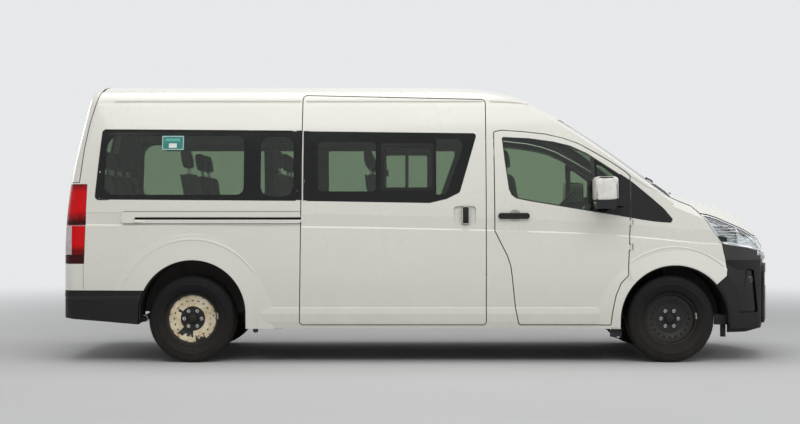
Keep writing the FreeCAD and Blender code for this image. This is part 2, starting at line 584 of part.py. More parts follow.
TOW_EYE = (2842.0, -460.0, 500.0)
TOW_EYE_R = 9.0
TOW_EYE_DEEP = 56.0
TOW_BOSS_R = 28.0


def plate_holes(x0, x1, z):
    return [rod((x0, y, z), (x1, y, z), PLATE_HOLE_R) for y in (PLATE_SPACING / 2, -PLATE_SPACING / 2)]


bumper_outline = plate(shrunk(FRONT_BUMPER, GROOVE), "y", -1100, 1100)
bumper = two_layers(bumper_outline, front_bumper_hole, ARCHES + [grille_hole])
fog_recess = plate([(2645.0, 758.0, 10.0), (2710.0, 742.0, 10.0), (2755.0, 396.0, 10.0), (2568.0, 396.0, 10.0)],
                   "y", 560, 1100)
fog_recesses = [sunk(recess, IN_LAYER) for recess in (fog_recess, mirrored(fog_recess))]
intake = slots(-430.0, 430.0, [(590.0, 632.0), (646.0, 688.0)])
bumper_line = box(2000, 3100, -1100, 1100, 819.0, 823.0)
bumper = carved(bumper, [sunk(slot, DEEP) for slot in intake] + fog_recesses)
bumper = bumper.cut(sunk(bumper_line, GLASS_OUT))
tow_ends = (TOW_EYE[0] - TOW_EYE_DEEP, TOW_EYE[1], TOW_EYE[2]), (3000.0, TOW_EYE[1], TOW_EYE[2])
bumper = bumper.fuse(OUTER.common(rod(*tow_ends, TOW_BOSS_R)))
save("front_bumper", biggest(carved(bumper, plate_holes(2700, 3000, 440.0) + [rod(*tow_ends, TOW_EYE_R)])))
rear_line = box(-3100, -2000, -1100, 1100, 515.0, 519.0)
rear_bumper = two_layers(plate(shrunk(REAR_BUMPER, GROOVE), "y", -1100, 1100), rear_bumper_hole, ARCHES)
save("rear_bumper", biggest(rear_bumper.cut(sunk(rear_line, GLASS_OUT))))
tail_skin = plate(shrunk(TAIL_LAMP, GROOVE), "y", TAILGATE_Y, 1100)
# its lenses meet at two level joints, the lower part in a red half and a clear one
lens_joints = [box(-3100, -2600, 700, 1100, 1099.0, 1108.0), box(-3100, -2600, 700, 1100, 865.0, 870.0),
               box(-2801.0, -2796.0, 700, 1100, 870.0, 1099.0)]
tail_lamp = carved(two_layers(tail_skin, tail_lamp_hole), [sunk(j, GLASS_OUT) for j in lens_joints])
save("tail_lamps", both(biggest(tail_lamp)))
tailgate_tool = plate(shrunk(TAILGATE_HIGH, GAP), "y", -1100, 1100)
tailgate_tool = tailgate_tool.fuse(box(-3200, -2600, -TAILGATE_Y + GAP, TAILGATE_Y - GAP, TAILGATE_Z + GAP, 1470.0))
rear_window = plate(REAR_SCREEN, "x", -3100, -2500)
plate_recess = rounded_bar(-275.0, 815.0, 275.0, 985.0, 14.0, "x", -3100, -2700)
lift_recess = rounded_bar(-130.0, 1004.0, 130.0, 1046.0, 12.0, "x", -3100, -2700)
gate = two_layers(tailgate_tool, tailgate_tool, [rear_window])
gate = carved(gate, [sunk(plate_recess, GLASS_IN), sunk(lift_recess, DEEP)] + plate_holes(-3100, -2700, 900.0))
save("tailgate", hinged(gate, gate_hinges, 2))
save("tailgate_glass", biggest(GLASS_OUT.common(rear_window).cut(GLASS_IN)))

# floor, wheel housings and bulkhead
floor = IN.common(box(-2885, 1577, -1000, 1000, FLOOR_Z - FLOOR_T, FLOOR_Z))
floor = floor.cut([box(-1000, 1600, 880, 1000, 500, 700), box(-1000, 1600, -1000, -880, 500, 700)])
floor = floor.fuse(box(1577, 1885, -FRONT_TUB_Y, FRONT_TUB_Y, FLOOR_Z - FLOOR_T, FLOOR_Z))


def tub(arch, y0, z0):
    x, z, r = arch
    outer = Part.makeCylinder(r + TUB_T, 1100.0 - y0, Vector(x, y0, z), Vector(0, 1, 0))
    inner = Part.makeCylinder(r, 1100.0 - y0 - TUB_T, Vector(x, y0 + TUB_T, z), Vector(0, 1, 0))
    keep = IN.common(box(x - 600, x + 600, y0, 1100, z0, 1200))
    return biggest(keep.common(outer.cut(inner))), outer


rear_tub, rear_solid = tub(REAR_ARCH, REAR_TUB_Y, 395.0)
front_tub, front_solid = tub(FRONT_ARCH, FRONT_TUB_Y, 340.0)
front_tub = front_tub.cut(box(X_F - 46, X_F + 46, 490, 530, 440, 530))
firewall = IN.common(box(1885, 1905, -1000, 1000, FLOOR_Z - FLOOR_T, 1385)).cut([front_solid, mirrored(front_solid)])
sill = IN.common(box(-1330, 1560, 830, 1000, 285, 297)).fuse(box(-1330, 1560, 830, 880, 285, FLOOR_Z - FLOOR_T))
floor = floor.cut([rear_solid, mirrored(rear_solid), front_solid, mirrored(front_solid)])
sill = sill.cut([rear_solid, front_solid])
pan = floor.fuse([rear_tub, mirrored(rear_tub), front_tub, mirrored(front_tub), firewall, sill, mirrored(sill)])
save("floor_pan", biggest(pan))

# chassis and drive train
rail = IN.common(box(-3000, 2780, 430, 490, 440, FLOOR_Z - FLOOR_T))
beams = [box(x - 30, x + 30, -430, 430, 470, FLOOR_Z - FLOOR_T) for x in (-2560.0, -1150.0, 900.0)]
beams.append(box(2690, 2740, -430, 430, 440, 820))
save("chassis_rails", biggest(rail.fuse([mirrored(rail)] + beams)))
save("engine_block", biggest(box(1960, 2480, -300, 300, 440, 940).fuse([box(1350, 1960, -140, 140, 300, 545)])))

cross = box(X_F - 52, X_F + 52, -490, 490, 330, 440).fuse([box(X_F - 52, X_F + 52, 420, 490, 205, 330),
                                                          box(X_F - 52, X_F + 52, -490, -420, 205, 330)])
# the arms end in round eyes at the kingpins, which the brake discs pass as they steer
ARM_EYE_R = 19.0
arm_low = box(X_F - 30, X_F + 30, 480, KINGPIN_Y - 6, 205, 229).fuse([
    rod((X_F, KINGPIN_Y, 205), (X_F, KINGPIN_Y, 229), ARM_EYE_R), rod((X_F, KINGPIN_Y, 220), (X_F, KINGPIN_Y, 285), 12)])
post = box(X_F - 40, X_F + 40, 430, 490, 400, 440)
arm_high = box(X_F - 30, X_F + 30, 490, KINGPIN_Y - 6, 471, 495).fuse([
    rod((X_F, KINGPIN_Y, 471), (X_F, KINGPIN_Y, 495), ARM_EYE_R), rod((X_F, KINGPIN_Y, 480), (X_F, KINGPIN_Y, 415), 12)])
strut = Part.makeCylinder(26, 400, Vector(X_F, 600, 490)).common(
    Part.makeCylinder(FRONT_ARCH[2], 600, Vector(FRONT_ARCH[0], 400, FRONT_ARCH[1]), Vector(0, 1, 0)))
save("front_suspension", Part.makeCompound([biggest(cross.fuse([arm_low, mirrored(arm_low)])),
                                            arm_high.fuse(strut), mirrored(arm_high.fuse(strut))]))

knuckle = box(X_F - 35, X_F + 35, 745, 790, 237, 463)
knuckle = knuckle.fuse([rod((X_F, 770, HUB_Z), (X_F, 880, HUB_Z), SPINDLE_R), box(X_F - 130, X_F, 745, 765, 290, 320)])
pin_low = rod((X_F, KINGPIN_Y, 230), (X_F, KINGPIN_Y, 293), 12 + RUNNING)
pin_high = rod((X_F, KINGPIN_Y, 407), (X_F, KINGPIN_Y, 470), 12 + RUNNING)
knuckle = biggest(knuckle.cut([pin_low, pin_high]))
save("knuckle_left", knuckle)
save("knuckle_right", mirrored(knuckle))

axle = rod((X_R, -772, HUB_Z), (X_R, 772, HUB_Z), 45)
axle = axle.fuse([rod((X_R, -880, HUB_Z), (X_R, 880, HUB_Z), SPINDLE_R), rod((X_R - 110, 0, HUB_Z), (-1700, 0, HUB_Z), 110),
                  rod((1350, 0, HUB_Z), (-1750, 0, HUB_Z), 38)]
                 + [rod((X_R, s * 770, HUB_Z), (X_R, s * 785, HUB_Z), 140) for s in (1, -1)])
spring = plate([(-2480.0, 455.0), (X_R - 60, 395.0), (X_R + 60, 395.0), (-1250.0, 455.0), (-1250.0, 485.0),
                (X_R + 60, 425.0), (X_R - 60, 425.0), (-2480.0, 485.0)], "y", 540, 600)
spring = spring.fuse([box(-2480, -2440, 540, 600, 470, FLOOR_Z - FLOOR_T), box(-1290, -1250, 540, 600, 470, FLOOR_Z - FLOOR_T),
                      box(X_R - 50, X_R + 50, 540, 600, 380, 425)])
save("rear_axle", biggest(axle.fuse([spring, mirrored(spring)])))
save("fuel_tank", box(-950, 250, 505, 800, 320, FLOOR_Z - FLOOR_T))
exhaust = pipe([(1900, -250, 400), (1300, -250, 330), (-1300, -300, 330), (-1600, -340, 480), (-2050, -340, 480),
                (-2150, -375, 385), (-2238, -560, 360), (-2238, -880, 350)], 24)
exhaust = exhaust.fuse([rod((-900, -290, 330), (-200, -285, 330), 80), box(-560, -540, -300, -270, 400, FLOOR_Z - FLOOR_T),
                        box(-1990, -1970, -350, -330, 480, FLOOR_Z - FLOOR_T)])
save("exhaust", biggest(exhaust))

# cabin
dash = plate([(1500.0, 1000.0), (1490.0, 1150.0), (1560.0, 1285.0), (1700.0, 1325.0), (1885.0, 1330.0), (1885.0, 1000.0)],
             "y", -850, 850)
WHEEL_AT = Vector(1300, 420, 1240)
COLUMN = Vector(-0.74, 0, 0.6726)
COLUMN.normalize()


def along(t):
    return tuple(WHEEL_AT + COLUMN * t)


hood = plate([(1530.0, 1225.0), (1556.0, 1366.0, 18.0), (1672.0, 1352.0, 18.0), (1704.0, 1300.0)], "y", 262, 578)
console = plate([(1500.0, 1010.0), (1548.0, 1270.0, 14.0), (1600.0, 1270.0), (1600.0, 760.0), (1530.0, 760.0, 14.0)],
                "y", -150, 150)
dash = dash.fuse([hood, console, rod(along(-330), along(-45), 32), rod(along(-60), along(22), 12)])
save("dashboard", biggest(dash))
ring = Part.makeTorus(195, 14, Vector(0, 0, 30))
hub = Part.makeCylinder(50, 44, Vector(0, 0, -20))
spokes = [box(-190, 190, -18, 18, 14, 24), box(-18, 18, -190, 0, 14, 24)]
wheel = hub.fuse([ring] + spokes).cut(Part.makeCylinder(12 + RUNNING, 42, Vector(0, 0, -20)))
wheel = biggest(wheel)
turn = FreeCAD.Rotation(Vector(0, 0, 1), COLUMN)
wheel.Placement = FreeCAD.Placement(WHEEL_AT, turn)
save("steering_wheel", wheel)


def seat(x, y0, y1, cushion_z, back_z, rests):
    """A cushion on a base with a leaning back; x is the cushion's rear edge."""
    parts = [box(x + 20, x + 440, y0 + 40, y1 - 40, FLOOR_Z, cushion_z - 110),
             box(x, x + 480, y0, y1, cushion_z - 110, cushion_z),
             plate([(x + 90, cushion_z - 60), (x - 30, back_z), (x - 130, back_z - 15), (x - 20, cushion_z - 60)], "y", y0, y1)]
    for yc in rests:
        parts.append(box(x - 130, x - 60, yc - 125, yc + 125, back_z - 12, back_z + 165))
    return biggest(merged(parts))


save("front_seats", Part.makeCompound([seat(790.0, 190.0, 690.0, 960.0, 1560.0, [440.0]),
                                       seat(790.0, -800.0, 60.0, 960.0, 1560.0, [-580.0, -160.0])]))
rows = []
for x, doubles, single in ((-330.0, (0.0, 860.0), (-860.0, -430.0)), (-1080.0, (0.0, 860.0), (-860.0, -430.0))):
    rows.append(seat(x, doubles[0], doubles[1], 1030.0, 1560.0, [215.0, 645.0]))
    rows.append(seat(x, single[0], single[1], 1030.0, 1560.0, [-645.0]))


def raised_row(x, y0, y1, rests, leg_y):
    parts = [box(x + 20, x + 440, leg_y[0], leg_y[1], FLOOR_Z, 930.0), box(x, x + 480, y0, y1, 920.0, 1030.0),
             plate([(x + 90, 970.0), (x - 30, 1560.0), (x - 130, 1545.0), (x - 20, 970.0)], "y", y0, y1)]
    for yc in rests:
        parts.append(box(x - 130, x - 60, yc - 125, yc + 125, 1548.0, 1725.0))
    return biggest(merged(parts))


rows.append(raised_row(-1830.0, 0.0, 860.0, [215.0, 645.0], (40.0, 640.0)))
rows.append(raised_row(-1830.0, -860.0, -430.0, [-645.0], (-640.0, -470.0)))
rows.append(raised_row(-2560.0, -820.0, 820.0, [-615.0, -205.0, 205.0, 615.0], (-640.0, 640.0)))
save("rear_seats", Part.makeCompound(rows))

# door mirrors
MIRROR = [(1375.0, 1240.0, 30.0), (1548.0, 1240.0, 40.0), (1540.0, 1490.0, 50.0), (1385.0, 1490.0, 30.0)]
housing = plate(MIRROR, "y", 1010, 1210)
arm = box(1545, 1635, 900, 1060, 1262, 1352).fuse(box(1500, 1600, 1012, 1060, 1270, 1345))
mirror = biggest(housing.fuse(arm).cut(OUTER))
save("mirror_left", mirror)
save("mirror_right", mirrored(mirror))


def rim(x, side):
    """A pressed disc in a barrel, with the hub and brake disc it turns with."""
    y = WHEEL_Y
    section = [(SPINDLE_R + RUNNING, y - 39.0), (75.0, y - 39.0), (75.0, y - 37.0), (140.0, y - 37.0), (140.0, y - 17.0),
               (75.0, y - 17.0), (75.0, y + 26.0), (120.0, y + 30.0), (160.0, y + 44.0), (178.0, y + 20.0),
               (188.0, y + 20.0), (188.0, y - RIM_W / 2 + 12.0), (200.0, y - RIM_W / 2), (214.0, y - RIM_W / 2),
               (214.0, y - RIM_W / 2 + 10.0), (RIM_R, y - RIM_W / 2 + 10.0), (RIM_R, y + RIM_W / 2 - 10.0),
               (214.0, y + RIM_W / 2 - 10.0), (214.0, y + RIM_W / 2), (200.0, y + RIM_W / 2), (188.0, y + 60.0),
               (160.0, y + 56.0), (118.0, y + 42.0), (SPINDLE_R + RUNNING, y + 40.0)]
    pts = [Vector(r, yy, 0) for r, yy in section]
    solid = Part.Face(Part.makePolygon(pts + [pts[0]])).revolve(Vector(0, 0, 0), Vector(0, 1, 0), 360.0)
    solid.translate(Vector(x, 0, HUB_Z))
    return solid if side > 0 else mirrored(solid)


def tyre(x, side):
    y = WHEEL_Y
    h = TYRE_W / 2
    seat_w = RIM_W / 2 - 10.0
    section = [(RIM_R, y - seat_w), (RIM_R, y + seat_w), (214.0, y + seat_w), (240.0, y + h - 6.0), (275.0, y + h),
               (325.0, y + h - 8.0), (TYRE_R - 2.0, y + h - 26.0), (TYRE_R, y + 60.0), (TYRE_R, y - 60.0),
               (TYRE_R - 2.0, y - h + 26.0), (325.0, y - h + 8.0), (275.0, y - h), (240.0, y - h + 6.0),
               (214.0, y - seat_w)]
    pts = [Vector(r, yy, 0) for r, yy in section]
    solid = Part.Face(Part.makePolygon(pts + [pts[0]])).revolve(Vector(0, 0, 0), Vector(0, 1, 0), 360.0)
    solid.translate(Vector(x, 0, HUB_Z))
    return solid if side > 0 else mirrored(solid)


for name, x, side in (("front_right", X_F, -1), ("front_left", X_F, 1), ("rear_right", X_R, -1), ("rear_left", X_R, 1)):
    save("rim_" + name, rim(x, side))
    save("tyre_" + name, tyre(x, side))
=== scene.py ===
"""Finishes, glazing, trim, lamps, wheels and seats of a long minibus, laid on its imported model."""

import cmath
import math
from functools import lru_cache, partial

import bmesh
import bpy
from bpy.props import FloatProperty, FloatVectorProperty, IntProperty, PointerProperty
from mathutils import Matrix, Vector
from mathutils.bvhtree import BVHTree


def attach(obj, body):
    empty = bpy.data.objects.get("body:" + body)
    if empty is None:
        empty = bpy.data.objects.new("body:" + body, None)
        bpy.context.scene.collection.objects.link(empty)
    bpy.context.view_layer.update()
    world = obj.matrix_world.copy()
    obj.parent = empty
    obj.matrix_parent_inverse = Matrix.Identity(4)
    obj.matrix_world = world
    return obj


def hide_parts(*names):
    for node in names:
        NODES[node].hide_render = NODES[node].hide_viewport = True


bl_info = {
    "name": "Minibus finish",
    "version": (1, 0, 0),
    "blender": (4, 5, 0),
    "location": "3D View > Sidebar > Minibus",
    "description": "Dresses the minibus with its glass, trim, lamps, wheels and seats",
    "category": "Object",
}

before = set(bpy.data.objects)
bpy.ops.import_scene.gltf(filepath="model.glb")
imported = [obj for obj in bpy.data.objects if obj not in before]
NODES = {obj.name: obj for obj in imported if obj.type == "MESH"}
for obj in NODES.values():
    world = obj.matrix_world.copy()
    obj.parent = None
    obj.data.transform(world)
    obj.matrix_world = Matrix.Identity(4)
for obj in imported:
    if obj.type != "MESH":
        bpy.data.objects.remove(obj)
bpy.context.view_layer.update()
MM = 0.001
SIDES = (("right", -1), ("left", 1))

# Places in millimetres: the wheels' middles, and the (x, z) middles of the arches over them
FRONT_AXLE, REAR_AXLE, HUB_Y, HUB_Z = 2012.5, -1847.5, 837.5, 350.0
FRONT_ARCH = (2042.5, 340.0)
REAR_ARCH = (-1842.5, 395.0)
WHEELS = (("front_right", FRONT_AXLE, -1), ("front_left", FRONT_AXLE, 1),
          ("rear_right", REAR_AXLE, -1), ("rear_left", REAR_AXLE, 1))


def linear(r, g, b):
    """A colour given in screen values, as the linear one that a shader takes."""
    return tuple((c / 255 / 12.92) if c <= 10 else ((c / 255 + 0.055) / 1.055) ** 2.4 for c in (r, g, b))


def dimmed(colour, k):
    return tuple(min(1.0, c * k) for c in colour)


def colour_setting(name, description, default):
    return FloatVectorProperty(name=name, description=description, subtype="COLOR", size=3, min=0, max=1,
                               default=default)


class MinibusSettings(bpy.types.PropertyGroup):
    """Sizes and colours that a user would change."""

    paint: colour_setting("Paint", "Body colour", linear(226, 224, 214))
    tint: colour_setting("Glass tint", "Colour of the side glass", (0.38, 0.47, 0.36))
    fabric: colour_setting("Seat fabric", "Seat covers", linear(74, 76, 80))
    dust: FloatProperty(name="Dust", description="Road dust low on the body", default=0.16, min=0, max=1,
                        subtype="FACTOR")
    tread: FloatProperty(name="Tread depth", description="Depth of the tyre grooves", default=0.008,
                         min=0.002, max=0.012, unit="LENGTH")
    nuts: IntProperty(name="Wheel nuts", description="Nuts on each wheel", default=6, min=4, max=8)
    row_fill: FloatProperty(name="Seat fill", description="How full the cushions are", default=0.7, min=0,
                            max=1, subtype="FACTOR")


# Shader nodes

def plug(at, inputs):
    """Sets or links a node's inputs, given by name or number."""
    for key, value in inputs.items():
        if isinstance(value, bpy.types.NodeSocket):
            at.id_data.links.new(value, at.inputs[key])
        else:
            at.inputs[key].default_value = value


def node(tree, kind, inputs=None, **settings):
    """A new node with its settings, then its inputs."""
    made = tree.nodes.new(kind)
    for key, value in settings.items():
        setattr(made, key, value)
    plug(made, inputs or {})
    return made


def maths(operation, *values, clamp=False):
    """A math node on sockets and numbers, in the sockets' own tree."""
    tree = next(v for v in values if isinstance(v, bpy.types.NodeSocket)).id_data
    inputs = dict(enumerate(values))
    return node(tree, "ShaderNodeMath", inputs, operation=operation, use_clamp=clamp).outputs[0]


plus = partial(maths, "ADD")
times = partial(maths, "MULTIPLY")
above = partial(maths, "GREATER_THAN")
below = partial(maths, "LESS_THAN")
greatest = partial(maths, "MAXIMUM")


def noise(at, scale, detail=3.0, rough=0.55):
    inputs = {"Vector": at, "Scale": scale, "Detail": detail, "Roughness": rough}
    return node(at.id_data, "ShaderNodeTexNoise", inputs).outputs["Fac"]


def mixed(fac, a, b):
    """Two colours mixed by a mask."""
    inputs = {key: (*v, 1.0) if isinstance(v, tuple) else v for key, v in (("A", a), ("B", b))}
    return node(fac.id_data, "ShaderNodeMix", {"Factor": fac, **inputs}, data_type="RGBA").outputs["Result"]


def ranged(value, lo, hi, start=0.35, end=0.65):
    inputs = {"Value": value, "From Min": start, "From Max": end, "To Min": lo, "To Max": hi}
    return node(value.id_data, "ShaderNodeMapRange", inputs).outputs["Result"]


def bumped(shader, height, strength, distance):
    inputs = {"Height": height, "Strength": strength, "Distance": distance}
    plug(shader, {"Normal": node(shader.id_data, "ShaderNodeBump", inputs).outputs["Normal"]})


def here(tree):
    """The place on the piece, then its x, y and z."""
    at = node(tree, "ShaderNodeTexCoord").outputs["Object"]
    return (at, *node(tree, "ShaderNodeSeparateXYZ", {0: at}).outputs)


def group(name, inputs, outputs):
    """A new shader group with float sockets: the group, what it is given, and its end node."""
    g = bpy.data.node_groups.new(name, "ShaderNodeTree")
    for label, value in inputs.items():
        socket = g.interface.new_socket(name=label, in_out="INPUT", socket_type="NodeSocketFloat")
        socket.default_value = value
    for label in outputs:
        g.interface.new_socket(name=label, in_out="OUTPUT", socket_type="NodeSocketFloat")
    return g, g.nodes.new("NodeGroupInput").outputs, g.nodes.new("NodeGroupOutput")


@lru_cache(maxsize=None)
def moulded_grain():
    """Fine grain for a bump, and a slow drift of tone over the piece."""
    g, given, end = group("moulded grain", {"Scale": 900.0, "Drift": 3.0}, ("Height", "Tone"))
    at = here(g)[0]
    slow = noise(at, given["Drift"], 2.0, 0.5)
    middle = noise(at, times(given["Drift"], 9.0), 3.0, 0.6)
    plug(end, {"Height": noise(at, given["Scale"], 4.0, 0.6),
               "Tone": plus(times(slow, 0.6), times(middle, 0.4))})
    return g


@lru_cache(maxsize=None)
def road_dust():
    """A mask that is strongest near the ground and breaks up in streaks."""
    g, given, end = group("road dust", {"Top": 0.9, "Amount": 0.3}, ("Mask",))
    at, _, _, z = here(g)
    low = maths("SUBTRACT", 1.0, maths("DIVIDE", z, given["Top"]), clamp=True)
    streaks = node(g, "ShaderNodeMapping", {"Scale": (1.0, 1.0, 0.25), "Vector": at}).outputs["Vector"]
    patch = noise(streaks, 9.0, 5.0, 0.65)
    plug(end, {"Mask": times(times(low, patch), times(given["Amount"], 2.0), clamp=True)})
    return g


@lru_cache(maxsize=None)
def woven():
    """Crossing threads for a cloth, as a height and a tone."""
    g, given, end = group("woven threads", {"Pitch": 900.0}, ("Height", "Tone"))
    at, x, y, z = here(g)
    along = maths("SINE", times(y, given["Pitch"]))
    across = maths("SINE", times(plus(x, z), given["Pitch"]))
    plug(end, {"Height": maths("MULTIPLY_ADD", times(along, across), 0.5), "Tone": noise(at, 60.0, 4.0, 0.7)})
    return g


def placed(tree, make, **inputs):
    return node(tree, "ShaderNodeGroup", inputs, node_tree=make()).outputs


# Finishes

DUST = linear(150, 138, 118)
FINISHES = {}


def finish(name, slot, tones, rough=(0.4, 0.5), metal=0.0, coat=0.0, scale=900.0, drift=3.0, bump=0.15,
           depth=0.0004, dust=0.0, top=0.9, clear=0.0, ior=1.5, sheen=0.0, weave=0.0, shine=0.5):
    """A finish from two tones, with its grain, drift, dust and bump; gives its shader and its colour."""
    m = bpy.data.materials.new(name)
    m.use_nodes = True
    tree = m.node_tree
    shader = tree.nodes["Principled BSDF"]
    if weave:
        grain = placed(tree, woven, Pitch=weave)
    else:
        grain = placed(tree, moulded_grain, Scale=scale, Drift=drift)
    colour = mixed(ranged(grain["Tone"], 0.0, 1.0), *tones)
    smooth = ranged(grain["Tone"], *rough)
    if dust:
        mask = placed(tree, road_dust, Top=top, Amount=dust)["Mask"]
        colour = mixed(mask, colour, DUST)
        smooth = plus(smooth, times(mask, 0.35), clamp=True)
    plug(shader, {"Base Color": colour, "Roughness": smooth, "Metallic": metal, "Coat Weight": coat,
                  "Coat Roughness": 0.06, "Transmission Weight": clear, "IOR": ior, "Sheen Weight": sheen,
                  "Specular IOR Level": shine})
    if bump:
        bumped(shader, grain["Height"], bump, depth)
    FINISHES[name] = (m, slot)
    return shader, colour


# Slot, then each finish with its two tones in screen values, its roughness and what else it has of its own
FINISH_ROWS = {
    "glass": (
        ("black_border", (9, 10, 10), (14, 15, 15), (0.08, 0.14), dict(scale=400.0, bump=0.02, shine=0.3)),
        ("sticker_teal", (16, 112, 104), (24, 124, 114), (0.35, 0.45), dict(drift=30.0, bump=0.05)),
        ("sticker_white", (226, 232, 228), (210, 218, 214), (0.4, 0.5), dict(drift=30.0, bump=0.05)),
        ("sticker_pale", (92, 176, 160), (70, 156, 142), (0.4, 0.5), dict(drift=60.0, bump=0.05)),
        ("mirror_glass", (206, 210, 212), (198, 203, 206), (0.01, 0.03), dict(metal=1.0, bump=0.0)),
    ),
    "bumper_plastic": (
        ("gloss_black", (12, 12, 13), (19, 19, 20), (0.16, 0.24), dict(coat=0.1, bump=0.05, shine=0.35)),
        ("seal_rubber", (22, 22, 23), (32, 32, 33), (0.55, 0.7), dict(scale=700.0, bump=0.3)),
        ("liner_felt", (24, 24, 25), (36, 35, 34), (0.85, 0.95),
         dict(scale=500.0, bump=0.8, depth=0.001, dust=0.06, top=1.0, shine=0.2)),
        ("grained_black", (12, 12, 13), (21, 21, 22), (0.38, 0.5), dict(scale=1300.0, bump=0.35, shine=0.35)),
    ),
    "rim_steel": (
        ("black_wheel", (13, 13, 14), (21, 21, 22), (0.30, 0.42),
         dict(coat=0.1, scale=500.0, bump=0.08, dust=0.05, top=0.7, shine=0.3)),
        # painted shade: near-black for the insides of holes, slots, cuts and gaps, standing in for their
        # shadow
        ("deep_hole", (5, 5, 5), (9, 9, 9), (0.8, 0.9), dict(bump=0.1)),
        ("worn_black", (12, 12, 13), (27, 26, 25), (0.35, 0.6),
         dict(scale=400.0, drift=22.0, bump=0.15, dust=0.05, top=0.7, shine=0.3)),
    ),
    "chassis_steel": (
        ("frame_steel", (42, 42, 42), (62, 58, 54), (0.55, 0.75),
         dict(metal=0.3, scale=300.0, drift=8.0, bump=0.3, dust=0.3, top=0.9)),
        ("pipe_steel", (120, 116, 110), (150, 146, 140), (0.35, 0.55),
         dict(metal=0.85, drift=10.0, bump=0.1, dust=0.25)),
    ),
    "engine": (
        ("cast_block", (120, 120, 118), (92, 92, 90), (0.5, 0.7),
         dict(metal=0.6, scale=350.0, drift=12.0, bump=0.4)),
    ),
    "trim_chrome": (
        ("bright_chrome", (214, 216, 220), (196, 199, 204), (0.05, 0.11),
         dict(metal=1.0, drift=6.0, bump=0.01)),
        ("zinc_plate", (178, 178, 176), (150, 150, 148), (0.25, 0.38),
         dict(metal=1.0, drift=30.0, bump=0.05)),
        ("lamp_bowl", (236, 239, 241), (214, 218, 221), (0.14, 0.24),
         dict(metal=0.05, scale=90.0, drift=9.0, bump=0.1)),
    ),
    "lamp_red": (
        ("red_lens", (214, 8, 14), (184, 5, 10), (0.08, 0.14), dict(scale=120.0, bump=0.05, shine=0.2)),
        ("dark_red_lens", (92, 4, 8), (70, 3, 6), (0.08, 0.14), dict(scale=120.0, bump=0.05, shine=0.2)),
        ("amber_lens", (226, 122, 24), (196, 98, 14), (0.08, 0.14), dict(coat=0.8, bump=0.05)),
    ),
    "lamp_clear": (
        ("smoke_lens", (58, 60, 62), (40, 42, 44), (0.06, 0.12), dict(scale=120.0, bump=0.05)),
        ("frosted_bulb", (236, 232, 214), (206, 204, 190), (0.15, 0.25), dict(scale=200.0, bump=0.05)),
    ),
    "cabin_plastic": (
        ("grey_trim", (116, 116, 114), (130, 130, 127), (0.55, 0.68), dict(bump=0.35)),
        ("dark_trim", (46, 47, 50), (58, 59, 62), (0.5, 0.64), dict(bump=0.4)),
        ("head_lining", (96, 97, 93), (110, 111, 107), (0.9, 0.97),
         dict(scale=650.0, bump=0.6, depth=0.0008)),
        ("wheel_cover_skin", (38, 38, 40), (48, 48, 50), (0.42, 0.55), dict(scale=1300.0, bump=0.45)),
        ("wall_lining", (62, 63, 60), (74, 75, 72), (0.75, 0.88), dict(scale=700.0, bump=0.5)),
    ),
    "floor_vinyl": (
        ("floor_sheet", (92, 93, 94), (112, 112, 112), (0.55, 0.7), dict(scale=260.0, drift=14.0, bump=0.35)),
        ("under_paint", (40, 40, 41), (54, 52, 50), (0.7, 0.85),
         dict(scale=180.0, drift=5.0, bump=0.6, depth=0.001, dust=0.2, top=1.2)),
    ),
    "seat_fabric": (
        ("belt_web", (34, 34, 36), (46, 46, 48), (0.7, 0.82), dict(weave=5200.0, bump=0.3)),
    ),
    "body_paint": (
        ("white_film", (236, 234, 228), (214, 210, 202), (0.32, 0.5),
         dict(coat=0.2, scale=70.0, drift=26.0, bump=0.9, depth=0.004)),
        ("torn_film", (240, 230, 202), (205, 184, 146), (0.35, 0.55),
         dict(scale=60.0, drift=13.0, bump=0.6, depth=0.002)),
    ),
    "tyre": (
        ("tyre_rubber", (11, 11, 11), (19, 19, 19), (0.62, 0.8),
         dict(scale=500.0, drift=14.0, bump=0.25, dust=0.07, top=0.5, shine=0.22)),
    ),
}


def make_finishes(s):
    """Every finish of the minibus; those that follow the settings come first."""
    paint, tint, fabric = tuple(s.paint), tuple(s.tint), tuple(s.fabric)
    finish("ivory_paint", "body_paint", (paint, dimmed(paint, 0.965)), (0.26, 0.32), coat=0.7, scale=260.0,
           drift=1.2, bump=0.02, dust=s.dust, top=0.75)
    glass = dict(rough=(0.0, 0.012), scale=40.0, drift=1.5, bump=0.01, clear=1.0, ior=1.45)
    finish("side_glazing", "glass", (tint, dimmed(tint, 0.96)), **glass)
    light = dimmed(tint, 1.04)
    finish("front_glazing", "glass", (light, dimmed(light, 0.97)), **glass)
    finish("clear_lens", "lamp_clear", ((0.97, 0.98, 0.98), (0.94, 0.96, 0.97)), (0.0, 0.02), scale=60.0,
           bump=0.01, clear=1.0, ior=1.35)
    finish("grained_bumper", "bumper_plastic", (linear(30, 30, 31), linear(40, 40, 41)), (0.50, 0.62),
           scale=1100.0, bump=0.5, dust=s.dust * 0.3, top=0.7, shine=0.3)
    cloth = dict(bump=0.35, depth=0.0006)
    finish("seat_cloth", "seat_fabric", (fabric, dimmed(fabric, 0.72)), (0.85, 0.95), weave=2400.0,
           sheen=0.35, **cloth)
    finish("seat_edge_cloth", "seat_fabric", (dimmed(fabric, 0.55), dimmed(fabric, 0.42)), (0.8, 0.92),
           weave=1700.0, sheen=0.25, **cloth)
    step_bumper()
    tail_lens()
    for slot, rows in FINISH_ROWS.items():
        for name, low, high, rough, more in rows:
            finish(name, slot, (linear(*low), linear(*high)), rough, **more)


